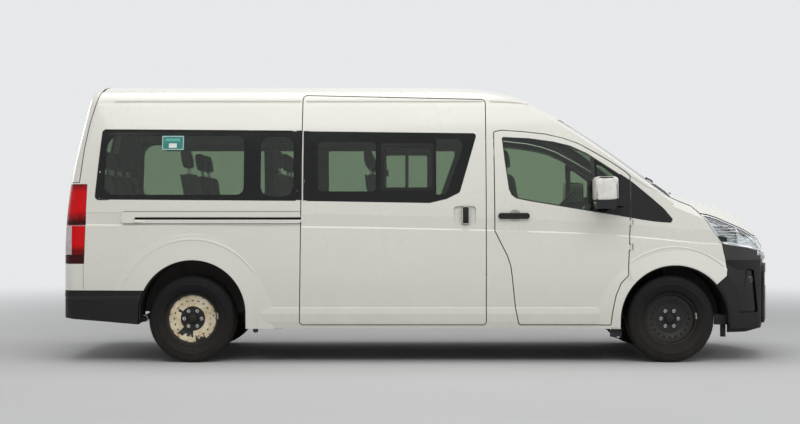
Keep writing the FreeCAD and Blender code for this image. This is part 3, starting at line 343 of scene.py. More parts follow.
def step_bumper():
    """Grained plastic, a paler grey above 0.83 m on the front, with a painted highlight as a paler line along
    the rear bumper's crease.
    """
    shader, dark = finish("step_bumper", "bumper_plastic", (linear(11, 11, 12), linear(18, 18, 19)),
                          (0.46, 0.58), scale=1100.0, bump=0.5, dust=0.03, top=0.7, shine=0.28)
    at, x, _, z = here(shader.id_data)
    front = ranged(z, 0.0, 1.0, 0.815, 0.83)
    # painted highlight: a paler line along the rear bumper's crease, where light catches it
    crease_highlight = times(ranged(z, 0.0, 0.5, 0.505, 0.515), ranged(z, 1.0, 0.0, 0.524, 0.54))
    paler_tone_and_highlight = mixed(noise(at, 14.0, 4.0), linear(48, 48, 47), linear(62, 62, 60))
    plug(shader, {"Base Color": mixed(greatest(front, times(below(x, 0.0), crease_highlight)), dark, paler_tone_and_highlight)})


def tail_lens():
    """Red, dark red and clear zones of the tail lamps, with moulded ribs under a gloss."""
    clear_low, clear_top, red_low, clear_behind = 0.868, 1.099, 1.108, -2.818
    shader, bright = finish("tail_lens", "lamp_red", (linear(226, 4, 14), linear(200, 3, 10)), (0.08, 0.14),
                            bump=0.0, shine=0.18)
    at, x, y, z = here(shader.id_data)
    wavy = plus(z, times(noise(at, 26.0), 0.05))
    upper_dark = times(ranged(wavy, 1.0, 0.0, 1.16, 1.25), above(z, red_low))
    top_dark = ranged(wavy, 0.0, 0.8, 1.40, 1.46)
    low_dark = greatest(below(z, clear_low), times(ranged(z, 0.8, 0.0, 0.90, 0.95), below(z, clear_top)))
    dark = greatest(greatest(upper_dark, top_dark), low_dark, clamp=True)
    colour = mixed(dark, bright, linear(58, 2, 6))
    clear = times(times(above(z, clear_low), below(z, clear_top)), below(x, clear_behind))
    white = mixed(ranged(noise(at, 9.0, 2.0), 0.0, 1.0), linear(216, 204, 203), linear(186, 172, 171))
    joint = times(above(z, clear_top), below(z, red_low))
    plug(shader, {"Base Color": mixed(joint, mixed(clear, colour, white), linear(214, 150, 150))})
    ribs = maths("SINE", times(z, 520.0))
    facets = maths("SINE", times(plus(x, y), 420.0))
    bumped(shader, times(ribs, facets), 0.35, 0.0015)


def of(name):
    return FINISHES[name][0]


# Outlines in millimetres, as (u, v) or (u, v, corner radius)

def rounded(points, steps=6):
    """The outline's corners turned to arcs."""
    out = []
    for i, (u, v, *radius) in enumerate(points):
        if not radius:
            out.append((u, v))
            continue
        corner = complex(u, v)
        a, b = (complex(*p[:2]) - corner for p in (points[i - 1], points[(i + 1) % len(points)]))
        to_a, to_b = a / abs(a), b / abs(b)
        half = math.acos(max(-1.0, min(1.0, (to_a * to_b.conjugate()).real))) / 2
        t = min(radius[0] / math.tan(half), abs(a) * 0.49, abs(b) * 0.49)
        r = t * math.tan(half)
        centre = corner + (to_a + to_b) / abs(to_a + to_b) * r / math.sin(half)
        start, stop = (cmath.phase(corner + way * t - centre) for way in (to_a, to_b))
        turn = (stop - start + math.pi) % math.tau - math.pi
        places = [centre + cmath.rect(r, start + turn * k / steps) for k in range(steps + 1)]
        out += [(p.real, p.imag) for p in places]
    return out


def inward(points, d):
    """The outline moved inward by d, or outward where d is negative."""
    places = [complex(*p[:2]) for p in points]
    pairs = list(zip(places, places[1:] + places[:1]))
    ways = [(b - a) / abs(b - a) for a, b in pairs]
    shift = 1j * d if sum((a.conjugate() * b).imag for a, b in pairs) > 0 else -1j * d
    out = []
    for i, (_, _, *radius) in enumerate(points):
        last, way = ways[i - 1], ways[i]
        p, q = places[i - 1] + last * shift, places[i] + way * shift
        cross = (way.conjugate() * last).imag
        if abs(cross) >= 1e-3:
            q = p + last * (way.conjugate() * (q - p)).imag / cross
        out.append((q.real, q.imag, *(max(r - d, 2.0) for r in radius)))
    return out


def strip(a, b, width):
    """A straight bar's outline from a to b."""
    a, b = complex(*a), complex(*b)
    side = (b - a) / abs(b - a) * 1j * width / 2
    return [(p.real, p.imag, width * 0.4) for p in (a + side, b + side, b - side, a - side)]


def window(u0, v0, u1, v1, r):
    u0, u1 = sorted((u0, u1))
    return [(u0, v0, r), (u1, v0, r), (u1, v1, r), (u0, v1, r)]


def arc(centre, r, a0, a1, steps=24):
    """Places on a circle's arc, angles in degrees from the front upward."""
    turns = [math.radians(a0 + (a1 - a0) * k / steps) for k in range(steps + 1)]
    return [(centre[0] + r * math.cos(a), centre[1] + r * math.sin(a)) for a in turns]


def circle(centre, r, count):
    return arc(centre, r, 0, 360, count)[:-1]


# Surfaces that trim is laid on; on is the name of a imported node, or several names with spaces

@lru_cache(maxsize=None)
def skin(on):
    """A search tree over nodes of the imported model."""
    verts, faces = [], []
    for n in on.split():
        mesh = NODES[n].data
        first = len(verts)
        verts += [v.co.copy() for v in mesh.vertices]
        faces += [tuple(i + first for i in p.vertices) for p in mesh.polygons]
    return BVHTree.FromPolygons(verts, faces)


def point(axis, u, v, w=0.0):
    """A point at w along the axis, with u and v on the two other axes."""
    co = [u, v]
    co.insert(axis, w)
    return Vector(co)


def reach(on, axis, sign, u, v, deepest):
    """Where the skin stands along the axis above (u, v) in metres, feeling round it over a gap."""
    tree = skin(on)
    for gap in (0.0, 0.006, 0.012, 0.02, 0.035, 0.06, 0.1):
        found = []
        for du, dv in ((0, 0), (1, 0), (-1, 0), (0, 1), (0, -1), (1, 1), (-1, -1), (1, -1), (-1, 1)):
            far = point(axis, u + du * gap, v + dv * gap, 4.0 * sign)
            hit = tree.ray_cast(far, point(axis, 0.0, 0.0, -sign))[0]
            if hit is not None and hit[axis] * sign > deepest:
                found.append(hit[axis])
            if gap == 0.0:
                break
        if found:
            return sum(found) / len(found)
    return tree.find_nearest(point(axis, u, v, sign))[0][axis]


def on_skin(on, axis, sign, u, v, lift=0.0, deepest=0.3):
    """A point in millimetres on a node's skin, found along an axis from the place (u, v) across it."""
    return point(axis, u, v, reach(on, axis, sign, u * MM, v * MM, deepest) / MM + sign * lift)


# Making pieces; sizes are in millimetres from here on

def linked(name, data):
    ob = bpy.data.objects.new(name, data)
    bpy.context.scene.collection.objects.link(ob)
    return ob


def evaluated(ob):
    """A mesh of the object as its modifiers leave it."""
    return bpy.data.meshes.new_from_object(ob.evaluated_get(bpy.context.evaluated_depsgraph_get()))


def meshed(bm, name):
    mesh = bpy.data.meshes.new(name)
    bm.to_mesh(mesh)
    bm.free()
    return mesh


def placed_on(mesh, finish_name, body):
    """An object for a finished mesh, riding on its body."""
    ob = linked(mesh.name, mesh)
    mesh.materials.append(of(finish_name))
    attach(ob, body)
    mesh.shade_smooth()
    return ob


def keep(bm, name, finish_name, body="shell", smooth=35.0, bevel=0.0, closed=True):
    """Ends the bmesh as a piece with its finish; smooth is the greatest angle that is shaded smooth."""
    if closed:
        bmesh.ops.remove_doubles(bm, verts=bm.verts, dist=1e-5)
        bmesh.ops.recalc_face_normals(bm, faces=bm.faces)
    mesh = meshed(bm, name)
    ob = placed_on(mesh, finish_name, body)
    mesh.set_sharp_from_angle(angle=math.radians(smooth))
    if bevel:
        mod = ob.modifiers.new("Rounded edges", "BEVEL")
        mod.width = bevel * MM
        mod.segments = 2
        mod.limit_method = "ANGLE"
        mod.angle_limit = math.radians(40)
    return ob


def thickened(piece, thick, offset=0.0):
    mod = piece.modifiers.new("Sheet thickness", "SOLIDIFY")
    mod.thickness = thick * MM
    mod.offset = offset


def raised(bm, faces):
    """Extrudes faces in place and gives their new vertices."""
    made = bmesh.ops.extrude_face_region(bm, geom=faces)
    return [g for g in made["geom"] if isinstance(g, bmesh.types.BMVert)]


def laid(name, finish_name, outline, on, holes=(), body="shell", axis=1, sign=-1, lift=0.0, thick=1.0,
         step=90.0, deepest=0.6, bevel=0.0):
    """A thin piece that follows the skin under an outline."""
    bm = bmesh.new()
    others = [k for k in range(3) if k != axis]
    edges = []
    for loop in [outline, *holes]:
        verts = [bm.verts.new(point(axis, u * MM, v * MM)) for u, v in rounded(loop)]
        edges += [bm.edges.new((verts[i - 1], verts[i])) for i in range(len(verts))]
    bmesh.ops.triangle_fill(bm, use_beauty=True, edges=edges)
    for k in others:
        low, high = min(v.co[k] for v in bm.verts), max(v.co[k] for v in bm.verts)
        count = int((high - low) / (step * MM))
        for i in range(1, count + 1):
            at, way = Vector((0, 0, 0)), Vector((0, 0, 0))
            at[k], way[k] = low + (high - low) * i / (count + 1), 1.0
            bmesh.ops.bisect_plane(bm, geom=bm.verts[:] + bm.edges[:] + bm.faces[:], dist=1e-6, plane_co=at,
                                   plane_no=way)
    for v in bm.verts:
        v.co[axis] = reach(on, axis, sign, v.co[others[0]], v.co[others[1]], deepest) + sign * lift * MM
    bmesh.ops.translate(bm, verts=raised(bm, bm.faces[:]), vec=point(axis, 0.0, 0.0, sign * thick * MM))
    return keep(bm, name, finish_name, body, smooth=30.0, bevel=bevel)


def sides(name, finish_name, outline, on, holes=(), body="shell", **more):
    """The same laid piece on the right and the left side; body and on may name the side with {}."""
    for side, sign in SIDES:
        laid(name + "_" + side, finish_name, outline, on.format(side), holes, body.format(side), sign=sign,
             **more)


def moved(*place):
    return Matrix.Translation(Vector(place) * MM)


def tilted(degrees):
    return Matrix.Rotation(math.radians(degrees), 4, "Y")


def facing(way):
    """The turn that points a form's Z along a way."""
    return Vector(way).to_track_quat("Z", "Y").to_matrix().to_4x4()


def lathe(profile, steps, angle=360.0, closed=False):
    """(radius, height) pairs spun about Z."""
    bm = bmesh.new()
    verts = [bm.verts.new((r * MM, 0.0, h * MM)) for r, h in profile]
    ends = verts[-1:] + verts if closed else verts
    edges = [bm.edges.new(pair) for pair in zip(ends, ends[1:])]
    bmesh.ops.spin(bm, geom=verts + edges, cent=(0, 0, 0), axis=(0, 0, 1), angle=math.radians(angle),
                   steps=steps, use_merge=angle == 360.0, use_duplicate=False)
    bmesh.ops.remove_doubles(bm, verts=bm.verts, dist=1e-6)
    return bm


class Shape:
    """Gathers turned, straight and boxed forms into one piece."""

    def __init__(self):
        self.bm = bmesh.new()

    def take(self, other, matrix=Matrix.Identity(4)):
        mesh = meshed(other, "part")
        mesh.transform(matrix)
        self.bm.from_mesh(mesh)
        bpy.data.meshes.remove(mesh)
        return self

    def slab(self, a, b, matrix=Matrix.Identity(4), edge=0.0):
        """A box between two corners, its edges rounded by edge."""
        a, b = Vector(a) * MM, Vector(b) * MM
        bm = bmesh.new()
        bmesh.ops.create_cube(bm, size=1.0)
        bmesh.ops.scale(bm, vec=[abs(c) for c in b - a], verts=bm.verts)
        bmesh.ops.translate(bm, vec=(a + b) / 2, verts=bm.verts)
        if edge:
            bmesh.ops.bevel(bm, geom=bm.edges[:], offset=edge * MM, segments=3, profile=0.5, affect="EDGES",
                            material=-1)
        return self.take(bm, matrix)

    def rod(self, a, b, r, r2=None, steps=20):
        """A round bar between two points."""
        a, b = Vector(a), Vector(b)
        bm = bmesh.new()
        bmesh.ops.create_cone(bm, cap_ends=True, segments=steps, radius1=r * MM,
                              radius2=(r if r2 is None else r2) * MM, depth=(b - a).length * MM)
        return self.take(bm, moved(*(a + b) / 2) @ facing(b - a))

    def turned(self, profile, centre, axis=(0, 1, 0), steps=48, **more):
        """A lathed form standing at a centre along an axis."""
        return self.take(lathe(profile, steps, **more), moved(*centre) @ facing(axis))

    def prism(self, outline, y, deep):
        """An outline of (x, z) places raised along Y; gives the vertices of its far end."""
        face = self.bm.faces.new([self.bm.verts.new((u * MM, y * MM, v * MM)) for u, v in outline])
        far = raised(self.bm, [face])
        bmesh.ops.translate(self.bm, verts=far, vec=(0, deep * MM, 0))
        return far

    def done(self, name, finish_name, body="shell", **more):
        return keep(self.bm, name, finish_name, body, **more)


def tube(name, finish_name, points, radius, body="shell", smooth=True):
    """A bent rod or hose through points."""
    curve = bpy.data.curves.new(name, "CURVE")
    curve.dimensions = "3D"
    spline = curve.splines.new("NURBS" if smooth else "POLY")
    spline.points.add(len(points) - 1)
    for p, co in zip(spline.points, points):
        p.co = (*(c * MM for c in co), 1.0)
    if smooth:
        spline.order_u = 3
        spline.use_endpoint_u = True
    curve.bevel_depth = radius * MM
    curve.bevel_resolution = 3
    curve.use_fill_caps = True
    route = linked(name + ".route", curve)
    mesh = evaluated(route)
    mesh.name = name
    bpy.data.objects.remove(route)
    bpy.data.curves.remove(curve)
    return placed_on(mesh, finish_name, body)


def rail(name, finish_name, line, on, sign, high, thick, lift=0.0, step=24.0, deepest=0.3):
    """A raised bead along a line of (x, z) places on a side, standing on the outermost skin near it."""
    places = []
    for a, b in zip(line, line[1:]):
        count = max(1, int(math.hypot(b[0] - a[0], b[1] - a[1]) / step))
        places += [(a[0] + (b[0] - a[0]) * k / count, a[1] + (b[1] - a[1]) * k / count) for k in range(count)]
    places.append(line[-1])
    near = (-high, -high / 2, 0, high / 2, high)
    out = [max(sign * on_skin(on, 1, sign, x, z + dz, lift, deepest)[1] for dz in near) for x, z in places]
    bm = bmesh.new()
    rows = []
    section = [(-1.0, -2.0), (-1.0, thick * 0.25), (-0.45, thick), (0.45, thick), (1.0, thick * 0.25),
               (1.0, -2.0)]
    for k, (x, z) in enumerate(places):
        around = out[max(0, k - 1):k + 2]
        even = sum(around) / len(around)
        a, b = places[max(0, k - 1)], places[min(len(places) - 1, k + 1)]
        length = math.hypot(b[0] - a[0], b[1] - a[1])
        nx, nz = -(b[1] - a[1]) / length * high / 2, (b[0] - a[0]) / length * high / 2
        rows.append([bm.verts.new(((x + nx * c) * MM, sign * (even + d) * MM, (z + nz * c) * MM))
                     for c, d in section])
    for upper, lower in zip(rows, rows[1:]):
        for k in range(6):
            bm.faces.new((upper[k - 1], upper[k], lower[k], lower[k - 1]))
    bm.faces.new(rows[0])
    bm.faces.new(rows[-1])
    return keep(bm, name, finish_name, smooth=50.0)


def lining(name, finish_name, node_name, keep_face, body="shell", offset=1.5, thick=1.2):
    """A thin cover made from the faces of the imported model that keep_face chooses."""
    bm = bmesh.new()
    bm.from_mesh(NODES[node_name].data)
    bmesh.ops.remove_doubles(bm, verts=bm.verts, dist=1e-5)
    bm.normal_update()
    drop = [f for f in bm.faces if not keep_face(f.calc_center_median(), f.normal)]
    bmesh.ops.delete(bm, geom=drop, context="FACES")
    bm.normal_update()
    for v, way in [(v, v.normal.copy()) for v in bm.verts]:
        v.co += way * offset * MM
    outer = raised(bm, bm.faces[:])
    bm.normal_update()
    for v in outer:
        v.co += v.normal * thick * MM
    return keep(bm, name, finish_name, body, smooth=40.0)


# The stage

BACKDROP = (0.80, 0.81, 0.82, 1.0)
LENS, SENSOR, PHOTO_WIDTH = 67.2, 36.0, 800
CAMERA = (-0.171, -12.975, 1.205)

# Place, what it points at, width and height in metres, watts
LAMPS = {
    "overhead": ((0.0, 0.0, 6.4), (0.0, 0.0, 0.0), (9.0, 4.0), 215.0),
    "near_side": ((1.0, -8.2, 8.5), (0.0, -0.5, 0.8), (14.0, 5.0), 580.0),
    "nose_side": ((9.0, -3.0, 3.6), (2.0, 0.0, 1.0), (4.0, 3.0), 110.0),
    "tail_side": ((-9.0, 4.0, 4.0), (-1.5, 0.0, 1.0), (4.0, 3.0), 110.0),
}


def blended(end, fac, a, b):
    """Sends two shaders, mixed by a mask, to an output node's surface."""
    both = node(end.id_data, "ShaderNodeMixShader", {0: fac, 1: a, 2: b})
    plug(end, {"Surface": both.outputs[0]})


class MINIBUS_OT_stage(bpy.types.Operator):
    """Pale floor and backdrop, soft lights and the level camera"""

    bl_idname = "minibus.stage"
    bl_label = "Stage and camera"

    def execute(self, context):
        scene = context.scene
        scene.view_settings.view_transform = "Standard"
        data = bpy.data.cameras.new("camera")
        data.lens = LENS
        data.sensor_width = SENSOR
        data.shift_y = 1.0 / PHOTO_WIDTH
        scene.camera = linked("camera", data)
        scene.camera.location = CAMERA
        scene.camera.rotation_euler = (math.radians(90), 0.0, 0.0)
        bm = bmesh.new()
        bmesh.ops.create_circle(bm, cap_ends=True, segments=96, radius=70.0)
        mesh = meshed(bm, "floor")
        mesh.materials.append(self.floor_finish())
        floor = linked("floor", mesh)
        self.world(scene)
        for name, (place, target, size, watts) in LAMPS.items():
            lamp = bpy.data.lights.new(name, "AREA")
            lamp.shape = "RECTANGLE"
            lamp.size, lamp.size_y = size
            lamp.energy = watts
            ob = linked(name, lamp)
            ob.location = place
            ob.rotation_euler = (Vector(target) - Vector(place)).to_track_quat("-Z", "Y").to_euler()
        return {"FINISHED"}

    def floor_finish(self):
        """Matt grey by the object, turning into the backdrop's colour far out."""
        m = bpy.data.materials.new("studio_floor")
        m.use_nodes = True
        tree = m.node_tree
        shader = tree.nodes["Principled BSDF"]
        at = here(tree)[0]
        colour = mixed(noise(at, 0.8, 4.0), (0.52, 0.52, 0.515), (0.56, 0.56, 0.555))
        plug(shader, {"Base Color": colour, "Roughness": 0.9, "Specular IOR Level": 0.1})
        glow = node(tree, "ShaderNodeEmission", {"Color": BACKDROP})
        far = node(tree, "ShaderNodeVectorMath", {0: at}, operation="LENGTH").outputs["Value"]
        blend = node(tree, "ShaderNodeMapRange", {"Value": far, "From Min": 3.5, "From Max": 14.0},
                     interpolation_type="SMOOTHSTEP")
        blended(tree.nodes["Material Output"], blend.outputs["Result"], shader.outputs[0], glow.outputs[0])
        return m

    def world(self, scene):
        """Soft sky light, with the plain backdrop wherever it is seen."""
        world = bpy.data.worlds.new("studio")
        scene.world = world
        world.use_nodes = True
        tree = world.node_tree
        plain = tree.nodes["Background"]
        plug(plain, {"Color": (0.95, 0.97, 1.0, 1.0), "Strength": 0.36})
        seen = node(tree, "ShaderNodeBackground", {"Color": BACKDROP})
        path = node(tree, "ShaderNodeLightPath").outputs
        any_ray = greatest(path["Is Camera Ray"],
                           greatest(path["Is Glossy Ray"], path["Is Transmission Ray"]))
        blended(tree.nodes["World Output"], any_ray, plain.outputs[0], seen.outputs[0])


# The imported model's own finishes; {} stands for each side

NODE_FINISH = {
    "ivory_paint": "front_door_{} side_panel_{} sliding_door roof_panel front_fenders bonnet tailgate",
    "side_glazing": "sliding_door_glass side_glass_{} tailgate_glass",
    "front_glazing": "front_door_glass_{} windscreen",
    "clear_lens": "headlamp_lenses",
    "bright_chrome": "grille",
    "lamp_bowl": "headlamps",
    "step_bumper": "front_bumper rear_bumper",
    "tail_lens": "tail_lamps",
    "grained_bumper": "cowl mirror_{}",
    "under_paint": "floor_pan",
    "frame_steel": "chassis_rails front_suspension knuckle_{} rear_axle fuel_tank",
    "pipe_steel": "exhaust",
    "cast_block": "engine_block",
    "dark_trim": "dashboard",
    "wheel_cover_skin": "steering_wheel",
    "seat_cloth": "front_seats rear_seats",
    "black_wheel": "rim_front_{} rim_rear_{}",
    "tyre_rubber": "tyre_front_{} tyre_rear_{}",
}


class MINIBUS_OT_finishes(bpy.types.Operator):
    """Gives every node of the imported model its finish"""

    bl_idname = "minibus.finishes"
    bl_label = "Body finishes"

    def execute(self, context):
        make_finishes(context.scene.minibus)
        for name, nodes in NODE_FINISH.items():
            for n in {n.format(side) for n in nodes.split() for side, _ in SIDES}:
                mesh = NODES[n].data
                mesh.materials.clear()
                mesh.materials.append(of(name))
        return {"FINISHED"}


# Glass and its borders

QUARTER_GLASS = [(-2567, 1880, 40), (-1000, 1868, 20), (-1000, 1302, 20), (-2608, 1313, 40)]
SLIDING_GLASS = [(-940, 1867, 25), (452, 1851, 25), (311, 1370, 40), (203, 1317, 60), (68, 1285, 60),
                 (-940, 1301, 25)]
LONG_GLASS = [QUARTER_GLASS[0], *SLIDING_GLASS[1:5], (-990, 1301, 200), QUARTER_GLASS[3]]
FRONT_GLASS = [(650, 1822, 15), (871, 1811), (1071, 1783), (1205, 1750), (1337, 1690), (1471, 1603),
               (1590, 1525, 20), (1625, 1490, 8), (1625, 1178, 8), (1404, 1212), (1138, 1256), (871, 1300),
               (765, 1322), (727, 1350, 15), (706, 1394), (672, 1633)]
SCREEN = [(-800, 1445, 60), (800, 1445, 60), (690, 1975, 70), (-690, 1975, 70)]
REAR_SCREEN = [(-690, 1420, 60), (690, 1420, 60), (640, 2050, 80), (-640, 2050, 80)]
SLIDING_PANES = [window(-833, 1379, -368, 1783, 30), window(-305, 1398, 88, 1757, 24),
                 [(121, 1808, 8), (362, 1808, 60), (203, 1360, 30), (121, 1352, 8)]]
REAR_PANES = [[(-2536, 1832, 110), (-1431, 1832, 56), (-1431, 1352, 60), (-2562, 1352, 75)],
              window(-1293, 1338, -1031, 1825, 80)]
QUARTER_LIGHT = [(1392, 1654), (1471, 1596), (1588, 1517, 18), (1617, 1486, 8), (1617, 1186, 8), (1408, 1218)]
QUARTER_LIGHT_PANE = [(1414, 1600, 8), (1462, 1577, 24), (1570, 1496, 14), (1570, 1236, 14), (1424, 1247, 8)]
SAIL_PANEL = [(1600, 1524, 4), (1682, 1470, 3), (1682, 1168, 3), (1600, 1180, 4)]
CORNER_PANEL = [(1688, 1466, 4), (1756, 1410), (1859, 1325), (1956, 1240), (2030, 1152, 18), (2010, 1126, 16),
                (1880, 1136), (1777, 1151), (1688, 1166, 4)]


class MINIBUS_OT_glazing(bpy.types.Operator):
    """Black borders, rubber seals, the sliding windows' frames and the blank sticker"""

    bl_idname = "minibus.glazing"
    bl_label = "Glazing"

    def execute(self, context):
        for name, glass, on, panes, sign in (
                ("rear_right", QUARTER_GLASS, "side_glass_right", REAR_PANES, -1),
                ("sliding_door", SLIDING_GLASS, "sliding_door_glass", SLIDING_PANES, -1),
                ("left", LONG_GLASS, "side_glass_left", REAR_PANES + SLIDING_PANES, 1)):
            laid("border_" + name, "black_border", inward(glass, 1.5), on, panes, sign=sign, lift=0.3,
                 thick=0.9)
        for side, sign, on in (("right", -1, "sliding_door_glass"), ("left", 1, "side_glass_left")):
            small = partial(laid, on=on, sign=sign)
            small("small_window_frame_" + side, "gloss_black", window(-325, 1386, 100, 1770, 26),
                  holes=[window(-298, 1412, 82, 1738, 20)], lift=1.2, thick=2.4)
            small("small_window_bar_" + side, "gloss_black", strip((-112, 1412), (-112, 1738), 20), lift=-9.0,
                  thick=2.0)
            small("small_window_latch_" + side, "dark_trim", window(-300, 1545, -276, 1605, 6), lift=-12.0,
                  thick=5.0)
        door = partial(sides, on="front_door_glass_{}", body="front_door_{}")
        door("front_door_seal", "seal_rubber", inward(FRONT_GLASS, 0.8), holes=[inward(FRONT_GLASS, 10.0)],
             lift=0.2, thick=3.4)
        door("front_door_bar", "seal_rubber", strip((1376, 1652), (1404, 1222), 30), lift=0.2, thick=2.2)
        door("quarter_light_border", "black_border", QUARTER_LIGHT, holes=[QUARTER_LIGHT_PANE], lift=0.3,
             thick=1.4)
        door("sail_panel", "gloss_black", SAIL_PANEL, on="front_door_{}", lift=-0.6, thick=2.0, deepest=0.86)
        sides("corner_panel", "gloss_black", CORNER_PANEL, "front_fenders", lift=-0.4, thick=1.8, step=45.0)
        for name, outline, on, body, sign in (("windscreen", SCREEN, "windscreen", "shell", 1),
                                              ("rear_window", REAR_SCREEN, "tailgate_glass", "tailgate", -1)):
            laid(name + "_border", "black_border", inward(outline, 1.5), on, [inward(outline, 52.0)], body,
                 axis=0, sign=sign, lift=0.2, thick=0.8)
        laid("sticker_sheet", "sticker_teal", window(-2097, 1713, -1917, 1832, 8), "side_glass_right",
             lift=0.2, thick=0.5)
        print_on = partial(laid, on="side_glass_right", lift=0.7, thick=0.3)
        print_on("sticker_edge", "sticker_white", window(-2092, 1718, -1922, 1827, 6),
                 holes=[window(-2088, 1722, -1926, 1823, 5)])
        print_on("sticker_patch", "sticker_white", window(-2040, 1732, -1976, 1768, 4))
        print_on("sticker_band", "sticker_pale", window(-2068, 1786, -1950, 1808, 4))
        return {"FINISHED"}


# Wheels; rings by their radius, faces by how far they stand out from the wheel's middle

NUT_RING, NUT_FACE = 69.85, 43
NUT_STEPS = [(0, 6, 15.5, 14.5, 24), (5, 27, 12.2, 11.4, 6), (26, 33, 11.0, 5.0, 18)]
VENTS, VENT_RING, VENT_FACE = 20, 152.0, 55.5
HALF_TREAD = 117.5
# painted shade: dark slabs round the tread, given by their corners, stand for the cuts across it
TREAD_CUT_SHADES = 72
TIP_CUT_SHADES = [((-1.4, -99, 347.2), (1.4, -73, 349.3)), ((-1.4, 73, 347.2), (1.4, 99, 349.3)),
            ((-1.1, -59, 348.0), (1.1, -29, 349.8)), ((-1.1, 29, 348.0), (1.1, 59, 349.8)),
            ((-1.1, -15, 348.0), (1.1, 15, 349.8))]
FILM_RINGS = [(99, 47), (108, 46.5), (119, 45), (133, 49.5), (147, 55), (160, 59), (172, 60), (185, 60),
              (196, 66)]


def tyre_profile(h, tread):
    """Radius and width pairs over a tyre, with its bead, sidewall ridges and four grooves."""
    groove = tread / MM
    half = [(206, h - 30), (211, h - 24), (218, h - 14), (224, h - 9), (226, h - 11), (238, h - 5),
            (256, h - 1.5), (272, h - 0.5), (274, h + 0.8), (279, h + 0.8), (281, h - 0.6), (300, h - 2),
            (318, h - 6), (330, h - 11), (338, h - 17), (344, h - 24), (347.5, h - 34)]
    for middle in (66, 22):
        half += [(348.6, middle + 6), (348.9 - groove, middle + 4), (348.9 - groove, middle - 4),
                 (349.4, middle - 6)]
    return half + [(r, -w) for r, w in reversed(half)]


class MINIBUS_OT_wheels(bpy.types.Operator):
    """Tyres with grooves, painted shade of the cuts between their blocks, nuts, caps, painted shade of the
    vent holes, valves and a torn film ring
    """

    bl_idname = "minibus.wheels"
    bl_label = "Wheels"

    def execute(self, context):
        s = context.scene.minibus
        for name, x, side in WHEELS:
            body = "wheel_" + name
            centre = (x, side * HUB_Y, HUB_Z)
            self.tyre(name, body, centre, side, s.tread)
            out = (0, side, 0)
            nuts, vents, cap = Shape(), Shape(), Shape()
            face = HUB_Y + NUT_FACE
            for u, z in circle((x, HUB_Z), NUT_RING, s.nuts):
                for low, high, r, r2, steps in NUT_STEPS:
                    nuts.rod((u, side * (face + low), z), (u, side * (face + high), z), r, r2, steps)
            nuts.done("wheel_nuts_" + name, "bright_chrome", body, smooth=28.0)
            at = (x, side * face, HUB_Z)
            face = HUB_Y + VENT_FACE
            # painted shade: dark discs where the rim's vent holes are
            for u, z in circle((x, HUB_Z), VENT_RING, VENTS):
                vents.rod((u, side * (face - 1.5), z), (u, side * (face + 1), z), 9.5, steps=14)
            vents.done("wheel_vent_shade_" + name, "deep_hole", body)
            cap.turned([(0, 20), (20, 19), (33, 15), (38, 8), (39, 0), (44, -1), (46, -3)], at, out, 40)
            cap.turned([(50, -3), (52, 1), (56, 2.5), (60, 1), (62, -3)], at, out)
            cap.done("hub_cap_" + name, "worn_black", body)
            lip = Shape().turned([(196, 84), (203, 90.5), (211, 91.5), (215, 88), (214, 82), (205, 80)],
                                 centre, out, 72)
            lip.done("rim_lip_" + name, "worn_black", body)
            stem = Shape()
            for a, b, r, r2, steps in (((176, 42, 30), (168, 76, 28), 5.5, 4.2, 20),
                                       ((168, 75, 28), (166, 86, 28), 4.6, 4.0, 12)):
                ends = [(x + p, side * (HUB_Y + q), HUB_Z + z) for p, q, z in (a, b)]
                stem.rod(*ends, r, r2, steps)
            stem.done("valve_" + name, "seal_rubber", body)
            weight = Shape().turned([(197, 86), (205, 96), (216, 95), (217, 90)], centre, out, 4, angle=14.0)
            weight.done("balance_weight_" + name, "zinc_plate", body)
        self.film("wheel_rear_right", (REAR_AXLE, -HUB_Y, HUB_Z), -1)
        return {"FINISHED"}

    def tyre(self, name, body, centre, side, tread):
        """The tyre by its turned profile, with dark slabs across its crown and shoulders as the painted shade
        of cuts.
        """
        shape = Shape().turned(tyre_profile(HALF_TREAD, tread), centre, (0, side, 0), 120)
        piece = shape.done("tyre_tread_" + name, "tyre_rubber", body, smooth=32.0)
        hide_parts("tyre_" + name)
        # painted shade: dark slabs at the tread's surface stand for the cuts across it
        cuts = Shape()
        for k in range(TREAD_CUT_SHADES):
            for low, high in TIP_CUT_SHADES:
                cuts.slab(low, high, moved(*centre) @ tilted(360.0 / TREAD_CUT_SHADES * k))
        cuts.done("tread_cut_shade_" + name, "deep_hole", body, smooth=20.0)

    def film(self, body, centre, side):
        """A wrinkled, torn protective ring over the nuts' plate of one wheel."""
        bm = lathe(FILM_RINGS, 150)
        torn = []
        for f in bm.faces:
            c = f.calc_center_median()
            a, r = math.atan2(c.y, c.x), c.to_2d().length / MM
            edge = 12 * math.sin(a * 5 + 0.7) + 9 * math.sin(a * 11 + 2.0) + 6 * math.sin(a * 23)
            lost = (abs(a + 1.95) < 0.42 and r < 150 + edge, abs(a + 1.2) < 0.22 and r > 150 + edge,
                    abs(a - 2.6) < 0.1 and r < 128 + edge)
            if any(lost):
                torn.append(f)
        bmesh.ops.delete(bm, geom=torn, context="FACES")
        for v in bm.verts:
            a = math.atan2(v.co.y, v.co.x)
            r = v.co.length
            v.co.z += 0.0011 * math.sin(a * 17 + r * 90) + 0.0008 * math.sin(a * 41 + r * 210)
        bmesh.ops.recalc_face_normals(bm, faces=bm.faces)
        bmesh.ops.transform(bm, matrix=moved(*centre) @ facing((0, side, 0)), verts=bm.verts)
        thickened(keep(bm, "film_ring", "torn_film", body, closed=False), 0.6, 1.0)


# Seats

